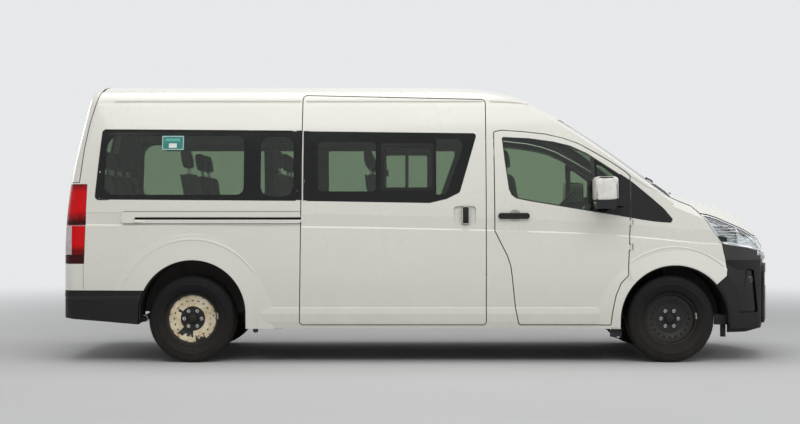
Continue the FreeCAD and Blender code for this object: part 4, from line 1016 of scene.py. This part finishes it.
class Pad:
    """One padded form, blown up as cloth, that is copied to every seat; in metres."""

    def __init__(self, size, voxel, cap, front):
        self.size, self.voxel, self.cap, self.front = size, voxel, cap, front
        self.mesh = self.shaped()

    def block(self):
        bm = bmesh.new()
        bmesh.ops.create_cube(bm, size=1.0)
        bmesh.ops.scale(bm, vec=self.size, verts=bm.verts)
        bmesh.ops.bevel(bm, geom=bm.edges[:], offset=min(self.size) * 0.3, segments=4, profile=0.5,
                        affect="EDGES", material=-1)
        return meshed(bm, "pad_block")

    def blown(self, ob):
        """The form blown up as sewn cloth under pressure."""
        settings = ob.modifiers.new("Padding", "CLOTH").settings
        settings.quality = 5
        settings.mass = 0.3
        settings.tension_stiffness = 12
        settings.compression_stiffness = 12
        settings.use_pressure = True
        settings.uniform_pressure_force = 4.0
        settings.effector_weights.gravity = 0.0
        scene = bpy.context.scene
        for f in range(1, 21):
            scene.frame_set(f)
        full = evaluated(ob)
        scene.frame_set(1)
        return full

    def shaped(self):
        ob = linked("pad_block", self.block())
        remesh = ob.modifiers.new("Even faces", "REMESH")
        remesh.mode = "VOXEL"
        remesh.voxel_size = self.voxel
        plain = evaluated(ob)
        ob.modifiers.clear()
        ob.data = plain
        start = [v.co.copy() for v in plain.vertices]
        full = self.blown(ob)
        for v, old in zip(full.vertices, start):
            move = v.co - old
            if move.length > self.cap:
                v.co = old + move.normalized() * self.cap
        bpy.data.objects.remove(ob)
        return full

    def sewn(self, channels, depth=0.009, width=0.011):
        """Presses stitched channels into the front; channels are (axis, place) pairs."""
        for v in self.mesh.vertices:
            if v.normal[self.front] >= 0.25:
                press = max(math.exp(-((v.co[axis] - place) / width) ** 2) for axis, place in channels)
                v.co[self.front] -= depth * press
        return self

    def copy(self, name, matrix, finish_name, fill):
        mesh = self.mesh.copy()
        mesh.name = name
        mesh.transform(matrix)
        ob = placed_on(mesh, finish_name, "shell")
        return ob


# x of the cushion's rear edge, the places' middles across, their width, cushion and back heights
BACK_TOP = 1560
FRONT_PLACES = [(790, (440,), 500, 960), (790, (-585, -155), 430, 960)]
REAR_PLACES = [(-330, (215, 645), 430, 1030), (-330, (-645,), 430, 1030), (-1080, (215, 645), 430, 1030),
               (-1080, (-645,), 430, 1030), (-1830, (215, 645), 430, 1030), (-1830, (-645,), 430, 1030),
               (-2560, (-615, -205, 205, 615), 410, 1030)]
PAD_WIDTH, PAD_HEIGHT = 430.0, 592.0


class MINIBUS_OT_seats(bpy.types.Operator):
    """Padded cushions, backs and headrests on their frames"""

    bl_idname = "minibus.seats"
    bl_label = "Seats"

    def execute(self, context):
        self.fill = context.scene.minibus.row_fill
        self.cushion = Pad((0.44, 0.40, 0.085), 0.014, 0.024, 2).sewn([(1, -0.115), (1, 0.115), (0, 0.12)])
        self.back = Pad((0.075, 0.395, 0.56), 0.014, 0.022, 0).sewn([(1, -0.115), (1, 0.115), (2, 0.12)])
        self.rest = Pad((0.062, 0.24, 0.15), 0.010, 0.012, 0)
        self.frames, self.stems, self.shells = Shape(), Shape(), Shape()
        for node_name, places in (("front_seats", FRONT_PLACES), ("rear_seats", REAR_PLACES)):
            for x, middles, width, seat_z in places:
                for y in middles:
                    self.seat(node_name, x, y, width, seat_z)
                self.legs(x, min(middles) - width / 2 + 30, max(middles) + width / 2 - 30, seat_z)
        self.frames.done("seat_frames", "worn_black")
        self.stems.done("headrest_stems", "bright_chrome")
        self.shells.done("seat_shells", "dark_trim")
        return {"FINISHED"}

    def seat(self, node_name, x, y, width, seat_z):
        """One place's three padded pieces, its stems and its plastic shells."""
        tag = "%s_%d_%d" % (node_name[:-6], (x + 3000) // 100, (y + 1000) // 10)
        rise = BACK_TOP - seat_z
        wide = Matrix.Scale((width - 8) / PAD_WIDTH, 4, (0, 1, 0))
        tall = Matrix.Scale((rise + 62) / PAD_HEIGHT, 4, (0, 0, 1))
        lean = tilted(-11.0)
        c = self.cushion.copy("cushion_" + tag, moved(x + 245, y, seat_z - 52) @ tilted(-3) @ wide,
                              "seat_cloth", self.fill)
        b = self.back.copy("backrest_" + tag, moved(x - 28, y, seat_z + (rise - 50) / 2) @ lean @ tall @ wide,
                           "seat_cloth", self.fill)
        h = self.rest.copy("headrest_" + tag, moved(x - 96, y, BACK_TOP + 88) @ lean, "seat_edge_cloth",
                           min(1.0, self.fill + 0.1))
        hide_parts(node_name)
        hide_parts(node_name)
        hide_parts(node_name)
        for dy in (-55, 55):
            self.stems.rod((x - 76, y + dy, BACK_TOP - 40), (x - 92, y + dy, BACK_TOP + 40), 6, steps=12)
        half = width / 2
        self.shells.slab((-8, 16 - half, 10 - rise / 2), (6, half - 16, rise / 2 - 18),
                         moved(x - 74, y, seat_z + (rise - 40) / 2) @ lean, edge=5)
        self.shells.slab((x + 30, y - half + 20, seat_z - 118), (x + 450, y + half - 20, seat_z - 92), edge=8)

    def legs(self, x, low, high, seat_z):
        """The frames under a row's two ends, kept clear of the wheel arches and the walls."""
        wall = 640 if x < -1300 else 840
        for y in (max(low, -wall), min(high, wall)):
            for foot, top in ((70, 50), (390, 410)):
                self.frames.rod((x + foot, y, 604), (x + top, y, seat_z - 112), 15, steps=14)
            self.frames.rod((x + 70, y, 612), (x + 390, y, 612), 13, steps=14)
            self.frames.rod((x + 40, y, seat_z - 122), (x + 420, y, seat_z - 122), 13, steps=14)
            for foot in (55, 355):
                self.frames.slab((x + foot, y - 24, 600.5), (x + foot + 50, y + 24, 608), edge=2)


# Linings

class MINIBUS_OT_linings(bpy.types.Operator):
    """Head lining, wall linings, floor sheet and the liners of the wheel arches"""

    bl_idname = "minibus.linings"
    bl_label = "Linings"

    def execute(self, context):
        for side, sign in SIDES:
            door = "front_door_" + side
            lining("wall_lining_" + side, "wall_lining", "side_panel_" + side,
                   lambda c, n: n.y * sign < -0.35 and c.z > 0.62 and -2.88 < c.x < 1.95)
            lining("front_door_lining_" + side, "wall_lining", door,
                   lambda c, n: n.y * sign < -0.5 and c.z > 0.4 and c.x < 1.62, door)
        lining("sliding_door_lining", "wall_lining", "sliding_door", lambda c, n: n.y > 0.35 and c.z > 0.35)
        lining("head_lining", "head_lining", "roof_panel", lambda c, n: n.z < -0.3 and c.z > 1.6)
        lining("tailgate_lining", "wall_lining", "tailgate", lambda c, n: n.x > 0.4 and c.z > 0.65,
               "tailgate")
        lining("floor_sheet", "floor_sheet", "floor_pan", lambda c, n: n.z > 0.9 and 0.59 < c.z < 0.605)
        for side, sign in SIDES:
            self.arch("rear_" + side, sign, REAR_ARCH, 432, 660, 968,
                      math.degrees(math.asin((REAR_ARCH[1] - 318) / 432)))
            self.arch("front_" + side, sign, FRONT_ARCH, 445, 505, 962, 4.0)
        return {"FINISHED"}

    def arch(self, name, sign, centre, r, inner, outer, low):
        """A black liner under an arch, over the panel's cut edge, down to low degrees below its middle."""
        x, z = centre[0] * MM, centre[1] * MM
        section = [(r - 9, inner + 30), (r - 4, inner + 60), (r - 3, outer - 26), (r - 12, outer - 8),
                   (r - 3.5, outer)]
        bm = bmesh.new()
        verts = [bm.verts.new((x + out * MM, sign * y * MM, z)) for out, y in section]
        edges = [bm.edges.new(pair) for pair in zip(verts, verts[1:])]
        bmesh.ops.rotate(bm, verts=bm.verts, cent=(x, 0, z), matrix=tilted(low))
        bmesh.ops.spin(bm, geom=verts + edges, cent=(x, 0, z), axis=(0, -1, 0),
                       angle=math.radians(180 + 2 * low), steps=64, use_merge=False, use_duplicate=False)
        bmesh.ops.recalc_face_normals(bm, faces=bm.faces)
        thickened(keep(bm, "arch_liner_" + name, "liner_felt", closed=False), 3.0)


# Lamps

BULB = [(0, 30), (9, 28), (14, 20), (15, 8), (12, 0), (0, -2)]
LAMP_STRIP = [(2436, 961), (2525, 947), (2644, 930), (2740, 905), (2800, 886), (2850, 870)]


class MINIBUS_OT_lamps(bpy.types.Operator):
    """Bulbs in the headlamps, chrome strips, reflectors and the high brake lamp"""

    bl_idname = "minibus.lamps"
    bl_label = "Lamps"

    def execute(self, context):
        for side, sign in SIDES:
            rail("lamp_strip_" + side, "bright_chrome", LAMP_STRIP, "headlamp_lenses headlamps front_bumper",
                 sign, 13.0, 4.0, lift=-1.0, step=14.0)
            bulbs = Shape()
            for x, y, z in ((2660, 700, 965), (2560, 800, 1040)):
                bulbs.turned(BULB, (x, sign * y, z), (1, 0, 0), 24)
            bulbs.done("lamp_bulbs_" + side, "frosted_bulb")
            laid("rear_reflector_" + side, "red_lens", window(sign * 640, 528, sign * 800, 556, 8),
                 "rear_bumper", axis=0, lift=0.5, thick=5.0)
        laid("high_brake_lamp", "dark_red_lens", window(-170, 2090, 170, 2118, 10), "tailgate",
             body="tailgate", axis=0, lift=0.5, thick=9.0)
        return {"FINISHED"}


# Side trim

REAR_GLASS_EDGE = [(-2582, 1884, 34), (-1040, 1873), (-1040, 1860), (-2528, 1860, 16), (-2580, 1322, 16),
                   (-2520, 1320), (-2520, 1309), (-2634, 1309, 34)]
REPEATER = [(1380, 1420, 10), (1500, 1430, 10), (1500, 1446, 6), (1380, 1440, 6)]
DOOR_SKIN_Y = 964.7
BEAD_Z = 2117


class MINIBUS_OT_side_trim(bpy.types.Operator):
    """Handles, track cover, roof beads, mirrors and the small parts on the sides"""

    bl_idname = "minibus.side_trim"
    bl_label = "Side trim"

    def execute(self, context):
        right = "side_panel_right"
        for side, sign in SIDES:
            self.handle(side, sign)
            self.mirror(side, sign)
            panel = "side_panel_" + side
            rail("roof_bead_front_" + side, "ivory_paint", [(560, BEAD_Z), (740, 2109), (880, 2092)], panel,
                 sign, 15.0, 3.2, step=30.0)
            for end, centre, r, a0, a1, on in (("rear", REAR_ARCH, 598, 34, 156, panel),
                                               ("front", FRONT_ARCH, 590, 42, 128, "front_fenders")):
                rail("flare_bead_%s_%s" % (end, side), "ivory_paint", arc(centre, r, a0, a1), on, sign, 16.0,
                     3.0)
            laid("rear_glass_edge_" + side, "black_border", REAR_GLASS_EDGE, panel + " side_glass_" + side,
                 sign=sign, lift=0.2, thick=2.2, step=40.0)
            rail("corner_seam_" + side, "seal_rubber", [(-2722, 786), (-2722, 594)], panel, sign, 3.0, 0.5)
        for name, on, sign, a, b in (("rear_right", right, -1, -2490, -980),
                                     ("slider_right", "sliding_door", -1, -930, 500),
                                     ("rear_left", "side_panel_left", 1, -2490, 500)):
            rail("roof_bead_" + name, "ivory_paint", [(a, BEAD_Z), (b, BEAD_Z)], on, sign, 15.0, 3.2,
                 step=60.0)
        lock = Shape().turned([(0, 3.2), (7, 3.0), (9.5, 1.6), (10, -2)], (850, DOOR_SKIN_Y + 26, 1181),
                              steps=24)
        lock.done("door_lock_left", "zinc_plate", "front_door_left")
        laid("mirror_repeater_left", "amber_lens", REPEATER, "mirror_left", body="front_door_left", sign=1,
             thick=1.5, deepest=1.0)
        pull = Shape().slab((327, -986.5, 1115), (388, -941, 1261), edge=14)
        pull.done("sliding_door_pull", "grained_black")
        # painted shade: a near-black strip on the floor of the sunk track slot, where its shadow falls
        laid("track_slot_shade", "deep_hole", [(-2306, 1136, 8), (-964, 1136), (-964, 1169), (-2306, 1169, 8)],
             right, lift=0.5)
        laid("track_lip", "ivory_paint", [(-2309, 1133.5, 3), (-964, 1133.5), (-964, 1151), (-2309, 1151, 3)],
             right, lift=0.5, thick=22.0)
        for k, (u0, u1, on) in enumerate(((-1008, -962, "side_panel_right side_glass_right"),
                                          (-951, -908, "sliding_door sliding_door_glass"))):
            laid("band_edge_%d" % k, "black_border", window(u0, 1309 - 3 * k, u1, 1873 - 4 * k, 2), on,
                 lift=0.2, thick=2.2, step=40.0)
        # painted shade: thin dark beads along the track cover's top and bottom edges
        for name, x, z in (("top", -2398, 1216), ("low", -2396, 1121)):
            rail("cover_edge_shade_" + name, "seal_rubber", [(x, z), (-970, z)], right, -1, 3.0, 0.6, step=60.0)
        foot = on_skin("roof_panel", 2, 1, 741, 0, -3.0)
        aerial = Shape().turned([(0, 21), (9, 20), (16, 14), (21, 5), (24, 0), (26, -4)], foot, (0.25, 0, 1),
                                28)
        aerial.done("roof_aerial", "gloss_black")
        return {"FINISHED"}

    def handle(self, side, sign):
        """A front door's pull handle, a little thinner in its middle, on two feet."""
        shape = Shape()
        outline = rounded(window(619, 1157, 871, 1206, 22), 8)
        for v in shape.prism(outline, sign * (DOOR_SKIN_Y + 10), sign * 16):
            if abs(v.co.x / MM - 745) < 60:
                v.co.y -= sign * 1.5 * MM
        for x in (626, 826):
            shape.slab((x, sign * (DOOR_SKIN_Y - 12), 1165), (x + 38, sign * (DOOR_SKIN_Y + 14), 1198),
                       edge=5)
        shape.done("door_handle_" + side, "grained_black", "front_door_" + side, bevel=4.0)

    def mirror(self, side, sign):
        """The mirror's glass and the protective film over its cover."""
        door = "front_door_" + side
        film = Shape().slab((1371, sign * 1007, 1299), (1552, sign * 1214, 1493), edge=26)
        bmesh.ops.subdivide_edges(film.bm, edges=film.bm.edges[:], cuts=2, use_grid_fill=True)
        for v in film.bm.verts:
            v.co.x += 0.0016 * math.sin(v.co.z * 130 + v.co.y * 70)
            v.co.y += 0.0014 * math.sin(v.co.z * 170 + v.co.x * 110)
        film.done("mirror_film_" + side, "white_film", door, smooth=60.0)
        laid("mirror_glass_" + side, "mirror_glass", window(sign * 1024, 1258, sign * 1196, 1292, 12),
             "mirror_" + side, body=door, axis=0, lift=0.5, thick=2.0, deepest=-9.0)


# Front, rear and underside

def wiper(name, on, sign, pivot, heel, tip, body="shell", lift=9.0):
    """A wiper's arm, its blade and its rubber, laid along the glass; places are (y, z) pairs."""
    at = [on_skin(on, 0, sign, *Vector(heel).lerp(Vector(tip), k / 8), lift) for k in range(9)]
    tube(name + "_blade", "grained_black", at, 6.5, body, smooth=False)
    tube(name + "_rubber", "seal_rubber", [p - Vector((sign * 7, 0, 0)) for p in at], 2.4, body, smooth=False)
    foot = on_skin(on, 0, sign, *pivot, 22.0)
    middle = (at[3] + at[4]) / 2 + Vector((sign * 9, 0, 4))
    knee = foot.lerp(middle, 0.25) + Vector((sign * 14, 0, 2))
    bend = foot.lerp(middle, 0.7) + Vector((sign * 10, 0, 0))
    tube(name + "_arm", "grained_black", [foot, knee, bend, middle], 6.0, body)
    cap = Shape().turned([(0, 16), (8, 15), (13, 10), (15, 0), (15, -24), (0, -24)], foot, (sign, 0, 0), 24)
    cap.done(name + "_pivot", "grained_black", body)


FOG_LAMP = [(0, 7), (14, 6), (24, 3), (27, 0), (31, 3), (34, 0), (34, -12)]
FOG_RECESS = [(2645, 758, 10), (2710, 742, 10), (2755, 396, 10), (2568, 396, 10)]
GRILLE_WING = [(2742, 876), (2800, 856), (2850, 838), (2890, 822)]
LAMP_NOTCH = [(2392, 1022, 5), (2474, 1008, 5), (2474, 972, 5), (2430, 974, 5)]


class MINIBUS_OT_front(bpy.types.Operator):
    """Bars in the grille and the intake, fog lamps, wipers and washer jets"""

    bl_idname = "minibus.front"
    bl_label = "Front"

    def execute(self, context):
        # painted shade: near-black sheets laid behind the grille's and the intake's bars
        floor = dict(axis=0, sign=1, lift=0.6, thick=1.2, step=70.0)
        bars = Shape()
        for low, high in ((853, 893), (906, 944), (957, 988)):
            for side, sign in SIDES:
                laid("grille_slot_shade_%s_%d" % (side, low), "deep_hole",
                     window(sign * 14, low + 2, sign * 530, high - 2, 6), "grille", **floor)
                for k in range(17):
                    y = sign * (32 + 29.5 * k)
                    x = on_skin("grille", 0, 1, y, (low + high) / 2)[0]
                    bars.slab((x - 2, y - 2.2, low + 0.5), (x + 15, y + 2.2, high - 0.5), edge=1.0)
        bars.done("grille_bars", "gloss_black", smooth=20.0)
        intake = Shape()
        for low, high in ((590, 632), (646, 688)):
            laid("intake_slot_shade_%d" % low, "deep_hole", window(-318, low + 2, 318, high - 2, 6),
                 "front_bumper", **floor)
            for y in range(-240, 280, 40):
                x = on_skin("front_bumper", 0, 1, y, (low + high) / 2)[0]
                front = on_skin("front_bumper", 0, 1, y, 720)[0]
                intake.slab((x - 2, y - 3, low + 0.5), (min(x + 16, front - 3), y + 3, high - 0.5), edge=1.2)
        intake.done("intake_bars", "grained_black", smooth=20.0)
        sides("bumper_insert", "gloss_black", inward(FOG_RECESS, 13.0), "front_bumper", lift=0.4, thick=5.0,
              bevel=1.5)
        for side, sign in SIDES:
            at = on_skin("front_bumper", 1, sign, 2676, 668, 4.0)
            Shape().turned(FOG_LAMP, at, (0.45, sign, 0), 36).done("fog_lamp_" + side, "smoke_lens")
            rail("grille_wing_" + side, "bright_chrome", GRILLE_WING, "front_bumper", sign, 40.0, 7.0,
                 step=14.0)
            out = max(sign * on_skin("headlamp_lenses", 1, sign, x, z)[1] for x, z, _ in LAMP_NOTCH)
            black = Shape()
            black.prism(rounded(LAMP_NOTCH), sign * (out - 12), sign * 13.5)
            black.done("lamp_notch_" + side, "gloss_black")
        self.lip()
        wiper("wiper_driver", "windscreen", 1, (560, 1478), (700, 1486), (40, 1500))
        wiper("wiper_passenger", "windscreen", 1, (-60, 1470), (30, 1482), (-560, 1496))
        jets = Shape()
        for y in (-270, 270):
            at = on_skin("bonnet", 2, 1, 2120, y, deepest=0.5)
            jets.turned([(0, 9), (6, 8.5), (10, 6), (13, 2), (14, -3)], at, (0, 0, 1), 20)
        jets.done("washer_jets", "grained_black", "bonnet")
        return {"FINISHED"}

    def lip(self):
        """The bumper's raised lower front, open at its intake, towing eye and plate holes."""
        openings = [window(-334, 584, 334, 696, 14), window(-496, 464, -424, 536, 34)]
        openings += [window(y - 9, 431, y + 9, 449, 8) for y in (-160, 160)]
        laid("bumper_lip", "step_bumper", window(-640, 296, 640, 776, 70), "front_bumper", openings, axis=0,
             sign=1, lift=-1.0, thick=27.0, step=60.0, bevel=11.0)


class MINIBUS_OT_rear(bpy.types.Operator):
    """Tailgate garnish, wiper, plate lamps, step pad, fuel lid and the exhaust's tip"""

    bl_idname = "minibus.rear"
    bl_label = "Rear"

    def execute(self, context):
        glass = "tailgate_glass tailgate"
        gate = partial(laid, on="tailgate", body="tailgate", axis=0, lift=0.5)
        gate("tailgate_garnish", "bright_chrome", window(-330, 1052, 330, 1094, 16), thick=11.0, bevel=4.0)
        # painted shade: a near-black sheet for the shadowed recess of the tailgate's pull
        gate("tailgate_pull", "deep_hole", window(-124, 1009, 124, 1042, 8), lift=0.6)
        gate("plate_panel", "grained_black", window(-270, 820, 270, 980, 10), thick=2.5,
             holes=[window(y - 6, 894, y + 6, 906, 5) for y in (-160, 160)])
        for k, y in enumerate((-110, 110)):
            gate("plate_lamp_%d" % k, "frosted_bulb", window(y - 24, 986, y + 24, 998, 3), thick=7.0)
        gate("rear_seam_light", "seal_rubber", inward(REAR_SCREEN, -3.0), on=glass,
             holes=[inward(REAR_SCREEN, 3.0)], lift=0.3, thick=1.4)
        wiper("rear_wiper", glass, -1, (0, 1396), (30, 1478), (-470, 1500), "tailgate")
        pad = [(-2898, -620, 20), (-2846, -700, 20), (-2846, 700, 20), (-2898, 620, 20)]
        laid("step_pad", "grained_black", pad, "rear_bumper", axis=2, sign=1, lift=0.4, thick=2.5,
             deepest=0.4)
        ribs = Shape()
        top = on_skin("rear_bumper", 2, 1, -2870, 0, deepest=0.4)[2]
        for x in range(-2890, -2850, 9):
            ribs.slab((x, -600, top + 2), (x + 4, 600, top + 6), edge=1.2)
        ribs.done("step_ribs", "seal_rubber")
        tip = [(25.5, -70), (27, -68), (28, 0), (27.5, 6), (25.5, 6), (24.6, 0), (24.6, -60)]
        Shape().turned(tip, (-2238, -884, 350), (0, -1, 0), 40).done("exhaust_tip", "bright_chrome")
        # painted shade: a near-black disc for the pipe's dark inside
        bore = Shape().turned([(0, 1.5), (23, 1.2), (24.2, 0)], (-2238, -880.5, 350), (0, -1, 0), 32)
        bore.done("exhaust_bore_shade", "deep_hole")
        lid = window(-1113, 873, -947, 1037, 22)
        # painted shade: a near-black ring for the gap round the fuel lid
        laid("fuel_lid_gap_shade", "deep_hole", window(-1118, 868, -942, 1042, 26), "side_panel_left", [lid],
             sign=1, lift=0.2, thick=0.5)
        laid("fuel_lid", "ivory_paint", lid, "side_panel_left", sign=1, lift=0.2, thick=1.6, bevel=0.6)
        return {"FINISHED"}


class MINIBUS_OT_under(bpy.types.Operator):
    """Brackets, mud flaps, dampers and clips under the body"""

    bl_idname = "minibus.under"
    bl_label = "Underside"

    def execute(self, context):
        brackets, flaps, dampers, clips = Shape(), Shape(), Shape(), Shape()
        for side, sign in SIDES:
            brackets.slab((-1364, sign * 822, 238), (-1324, sign * 858, 284), edge=5)
            brackets.rod((-1344, sign * 840, 232), (-1344, sign * 840, 240), 9, steps=12)
            brackets.slab((-1196, sign * 840, 266), (-1124, sign * 872, 284), edge=4)
            flaps.slab((-2300, sign * 640, 318), (-2294, sign * 925, 470), edge=2)
            flaps.slab((-92, sign * 650, -9), (78, sign * 800, 9), moved(1522, 0, 262) @ tilted(12), edge=4)
            flaps.slab((2446, sign * 760, 196), (2484, sign * 800, 300), edge=3)
            flaps.slab((2380, sign * 829, 298), (2514, sign * 835, 380), edge=2)
            dampers.rod((-1960, sign * 470, 330), (-2120, sign * 455, 470), 26, steps=24)
            dampers.rod((-2120, sign * 455, 470), (-2210, sign * 448, 548), 13, steps=18)
            for degrees in (38, 62, 86, 112, 140):
                a = math.radians(degrees)
                at = (REAR_ARCH[0] - 423 * math.cos(a), sign * 905, REAR_ARCH[1] + 423 * math.sin(a))
                way = (math.cos(a), 0, -math.sin(a))
                clips.turned([(0, 4), (8, 3.2), (11, 1), (11.5, -3)], at, way, 16)
        sides("flap_cover", "seal_rubber",
              [(1526, 284), (1612, 284), (1612, 196), (1580, 196, 8), (1516, 214, 4)], "front_fenders",
              lift=0.2, thick=3.0, step=20.0, deepest=0.9)
        brackets.done("sill_brackets", "frame_steel")
        flaps.done("mud_flaps", "seal_rubber")
        dampers.done("rear_dampers", "worn_black")
        clips.done("liner_clips", "grained_black")
        return {"FINISHED"}


# Cabin

WHEEL_HUB = Vector((1300, 420, 1240))
WHEEL_AXIS = Vector((-0.74, 0, 0.6726)).normalized()
DUCT_Z = 1772
RAIL_Y, RAIL_Z = 560, 1930


class MINIBUS_OT_cabin(bpy.types.Operator):
    """Dashboard fittings, wheel pad, levers, pedals, inner mirror, visors, roof fittings and front belts"""

    bl_idname = "minibus.cabin"
    bl_label = "Cabin"

    def execute(self, context):
        self.dashboard()
        self.controls()
        glass_x = on_skin("windscreen", 0, 1, 0, 1800)[0]
        mirror = Shape().slab((glass_x - 150, -125, 1748), (glass_x - 122, 125, 1816), edge=11)
        mirror.rod((glass_x - 130, 0, 1782), (glass_x - 34, 0, 1812), 9, steps=14)
        mirror.done("inner_mirror", "dark_trim")
        top_x = on_skin("windscreen", 0, 1, 0, 1950)[0]
        visors = Shape()
        for y in (-420, 420):
            visors.slab((-92, -205, -9), (92, 205, 9), moved(top_x - 190, y, 1905) @ tilted(-12), edge=8)
            visors.rod((top_x - 120, y - 190, 1912), (top_x - 120, y + 190, 1912), 5, steps=10)
        visors.done("sun_visors", "grey_trim")
        for k, x in enumerate((700, -700, -1900)):
            laid("roof_lamp_%d" % k, "frosted_bulb", window(x - 80, -55, x + 80, 55, 24), "roof_panel",
                 axis=2, lift=4.0, thick=14.0, deepest=-3.0, bevel=3.0)
        for side, sign in SIDES:
            duct = Shape().slab((-2330, sign * 640, DUCT_Z), (470, sign * 788, 1890), edge=30)
            for k in range(9):
                at = (-2180 + 320 * k, sign * 700, DUCT_Z)
                duct.turned([(0, -2), (18, -2), (24, 2), (30, 2), (33, -4)], at, (0, 0, -1), 20)
            duct.done("air_duct_" + side, "wall_lining")
            y = sign * RAIL_Y
            bars = Shape().rod((-2300, y, RAIL_Z), (100, y, RAIL_Z), 13)
            for x in (-2250, -1500, -700, 60):
                bars.rod((x, y, RAIL_Z), (x, y, 2060), 8, steps=12)
            bars.done("hand_rail_" + side, "grained_black")
            self.belt(side, sign)
        return {"FINISHED"}

    def dashboard(self):
        """Air vents, the screen, the heater's knobs and the dials."""
        vents, slats, knobs, dials = Shape(), Shape(), Shape(), Shape()
        for y in (-690, -300, 218, 690):
            place = moved(1507, y, 1222) @ tilted(26)
            vents.slab((-7, -62, -34), (4, 62, 34), place, edge=6)
            for z in range(-24, 24, 11):
                slats.slab((-12, -54, z), (-5, 54, z + 3), place, edge=0.8)
        vents.done("dash_vents", "gloss_black")
        slats.done("dash_vent_slats", "grey_trim")
        Shape().slab((1532, -118, 1130), (1542, 118, 1256), edge=5).done("radio_screen", "gloss_black")
        for y in (-84, 0, 84):
            knobs.turned([(0, 26), (15, 25), (18, 20), (20, 4), (26, 0), (27, -8)], (1512, y, 1062),
                         (-1, 0, 0.2), 32)
        knobs.done("heater_knobs", "grained_black")
        for y in (355, 485):
            dials.turned([(0, 1), (48, 1), (53, 5), (57, 4), (58, -3)], (1549, y, 1296), (-1, 0, 0.22))
        dials.done("dials", "gloss_black")

    def controls(self):
        """The gear lever, the steering wheel's pad and cover, the stalks and the pedals."""
        lever = Shape().rod((1545, 60, 905), (1470, 62, 1010), 9, 7, steps=16)
        lever.turned([(0, 30), (12, 28), (20, 18), (22, 4), (16, -14), (9, -20)], (1466, 62, 1014),
                     (-0.6, 0, 0.8), 28)
        lever.turned([(46, -6), (38, 4), (26, 12), (14, 16)], (1536, 60, 918), (-0.75, 0, 0.66), 28)
        lever.done("gear_lever", "grained_black")
        pad = Shape().turned([(0, 44), (34, 42), (58, 36), (72, 27), (78, 16), (74, 6), (52, 2)], WHEEL_HUB,
                             WHEEL_AXIS)
        pad.done("wheel_pad", "dark_trim", "steering_wheel")
        grip = Shape().turned(circle((195, 30), 15.2, 14), WHEEL_HUB, WHEEL_AXIS, 64, closed=True)
        grip.done("wheel_grip", "wheel_cover_skin", "steering_wheel")
        stalks, pedals = Shape(), Shape()
        foot = WHEEL_HUB - WHEEL_AXIS * 62
        for sign in (-1, 1):
            stalks.rod(foot + Vector((0, sign * 26, 6)), foot + Vector((18, sign * 170, 36)), 6.5, 5.5,
                       steps=14)
            stalks.rod(foot + Vector((18, sign * 150, 32)), foot + Vector((18, sign * 182, 38)), 9, steps=14)
        stalks.done("column_stalks", "grained_black")
        for y, width in ((300, 52), (420, 90), (545, 62)):
            pedals.slab((1648, y - width / 2, 735), (1660, y + width / 2, 800), edge=4)
            pedals.rod((1656, y, 770), (1720, y, 990), 8, steps=12)
        pedals.done("pedals", "seal_rubber")

    def belt(self, side, sign):
        """A front belt's webbing, from the pillar's loop down to the sill."""
        y = sign * 838
        points = [(610, y, 1560), (612, y - sign * 2, 1300), (616, y - sign * 3, 1000), (620, y, 700)]
        bm = bmesh.new()
        rows = []
        for p in points:
            rows.append([bm.verts.new((Vector(p) + Vector((d, 0, 0))) * MM) for d in (-24, -8, 8, 24)])
        for upper, lower in zip(rows, rows[1:]):
            for k in range(3):
                bm.faces.new((upper[k], upper[k + 1], lower[k + 1], lower[k]))
        bmesh.ops.recalc_face_normals(bm, faces=bm.faces)
        thickened(keep(bm, "front_belt_" + side, "belt_web", closed=False), 1.4)
        loop = Shape().slab((582, y - 10, 1552), (638, y + 10, 1590), edge=6)
        loop.done("belt_loop_" + side, "grained_black")


class MINIBUS_PT_panel(bpy.types.Panel):
    """Lists the minibus's pieces and settings"""

    bl_label = "Minibus"
    bl_space_type = "VIEW_3D"
    bl_region_type = "UI"
    bl_category = "Minibus"

    def draw(self, context):
        layout = self.layout
        for key in ("paint", "tint", "fabric", "dust", "tread", "nuts", "row_fill"):
            layout.prop(context.scene.minibus, key)
        for step in STEPS:
            layout.operator(step.bl_idname)


STEPS = (MINIBUS_OT_stage, MINIBUS_OT_finishes, MINIBUS_OT_glazing, MINIBUS_OT_linings, MINIBUS_OT_seats,
         MINIBUS_OT_cabin, MINIBUS_OT_wheels, MINIBUS_OT_lamps, MINIBUS_OT_side_trim, MINIBUS_OT_front,
         MINIBUS_OT_rear, MINIBUS_OT_under)
CLASSES = (MinibusSettings, *STEPS, MINIBUS_PT_panel)


def register():
    for c in CLASSES:
        bpy.utils.register_class(c)
    bpy.types.Scene.minibus = PointerProperty(type=MinibusSettings)


def unregister():
    del bpy.types.Scene.minibus
    for c in reversed(CLASSES):
        bpy.utils.unregister_class(c)


def main():
    register()
    for step in STEPS:
        area, name = step.bl_idname.split(".")
        getattr(getattr(bpy.ops, area), name)()


if __name__ == "__main__":
    main()
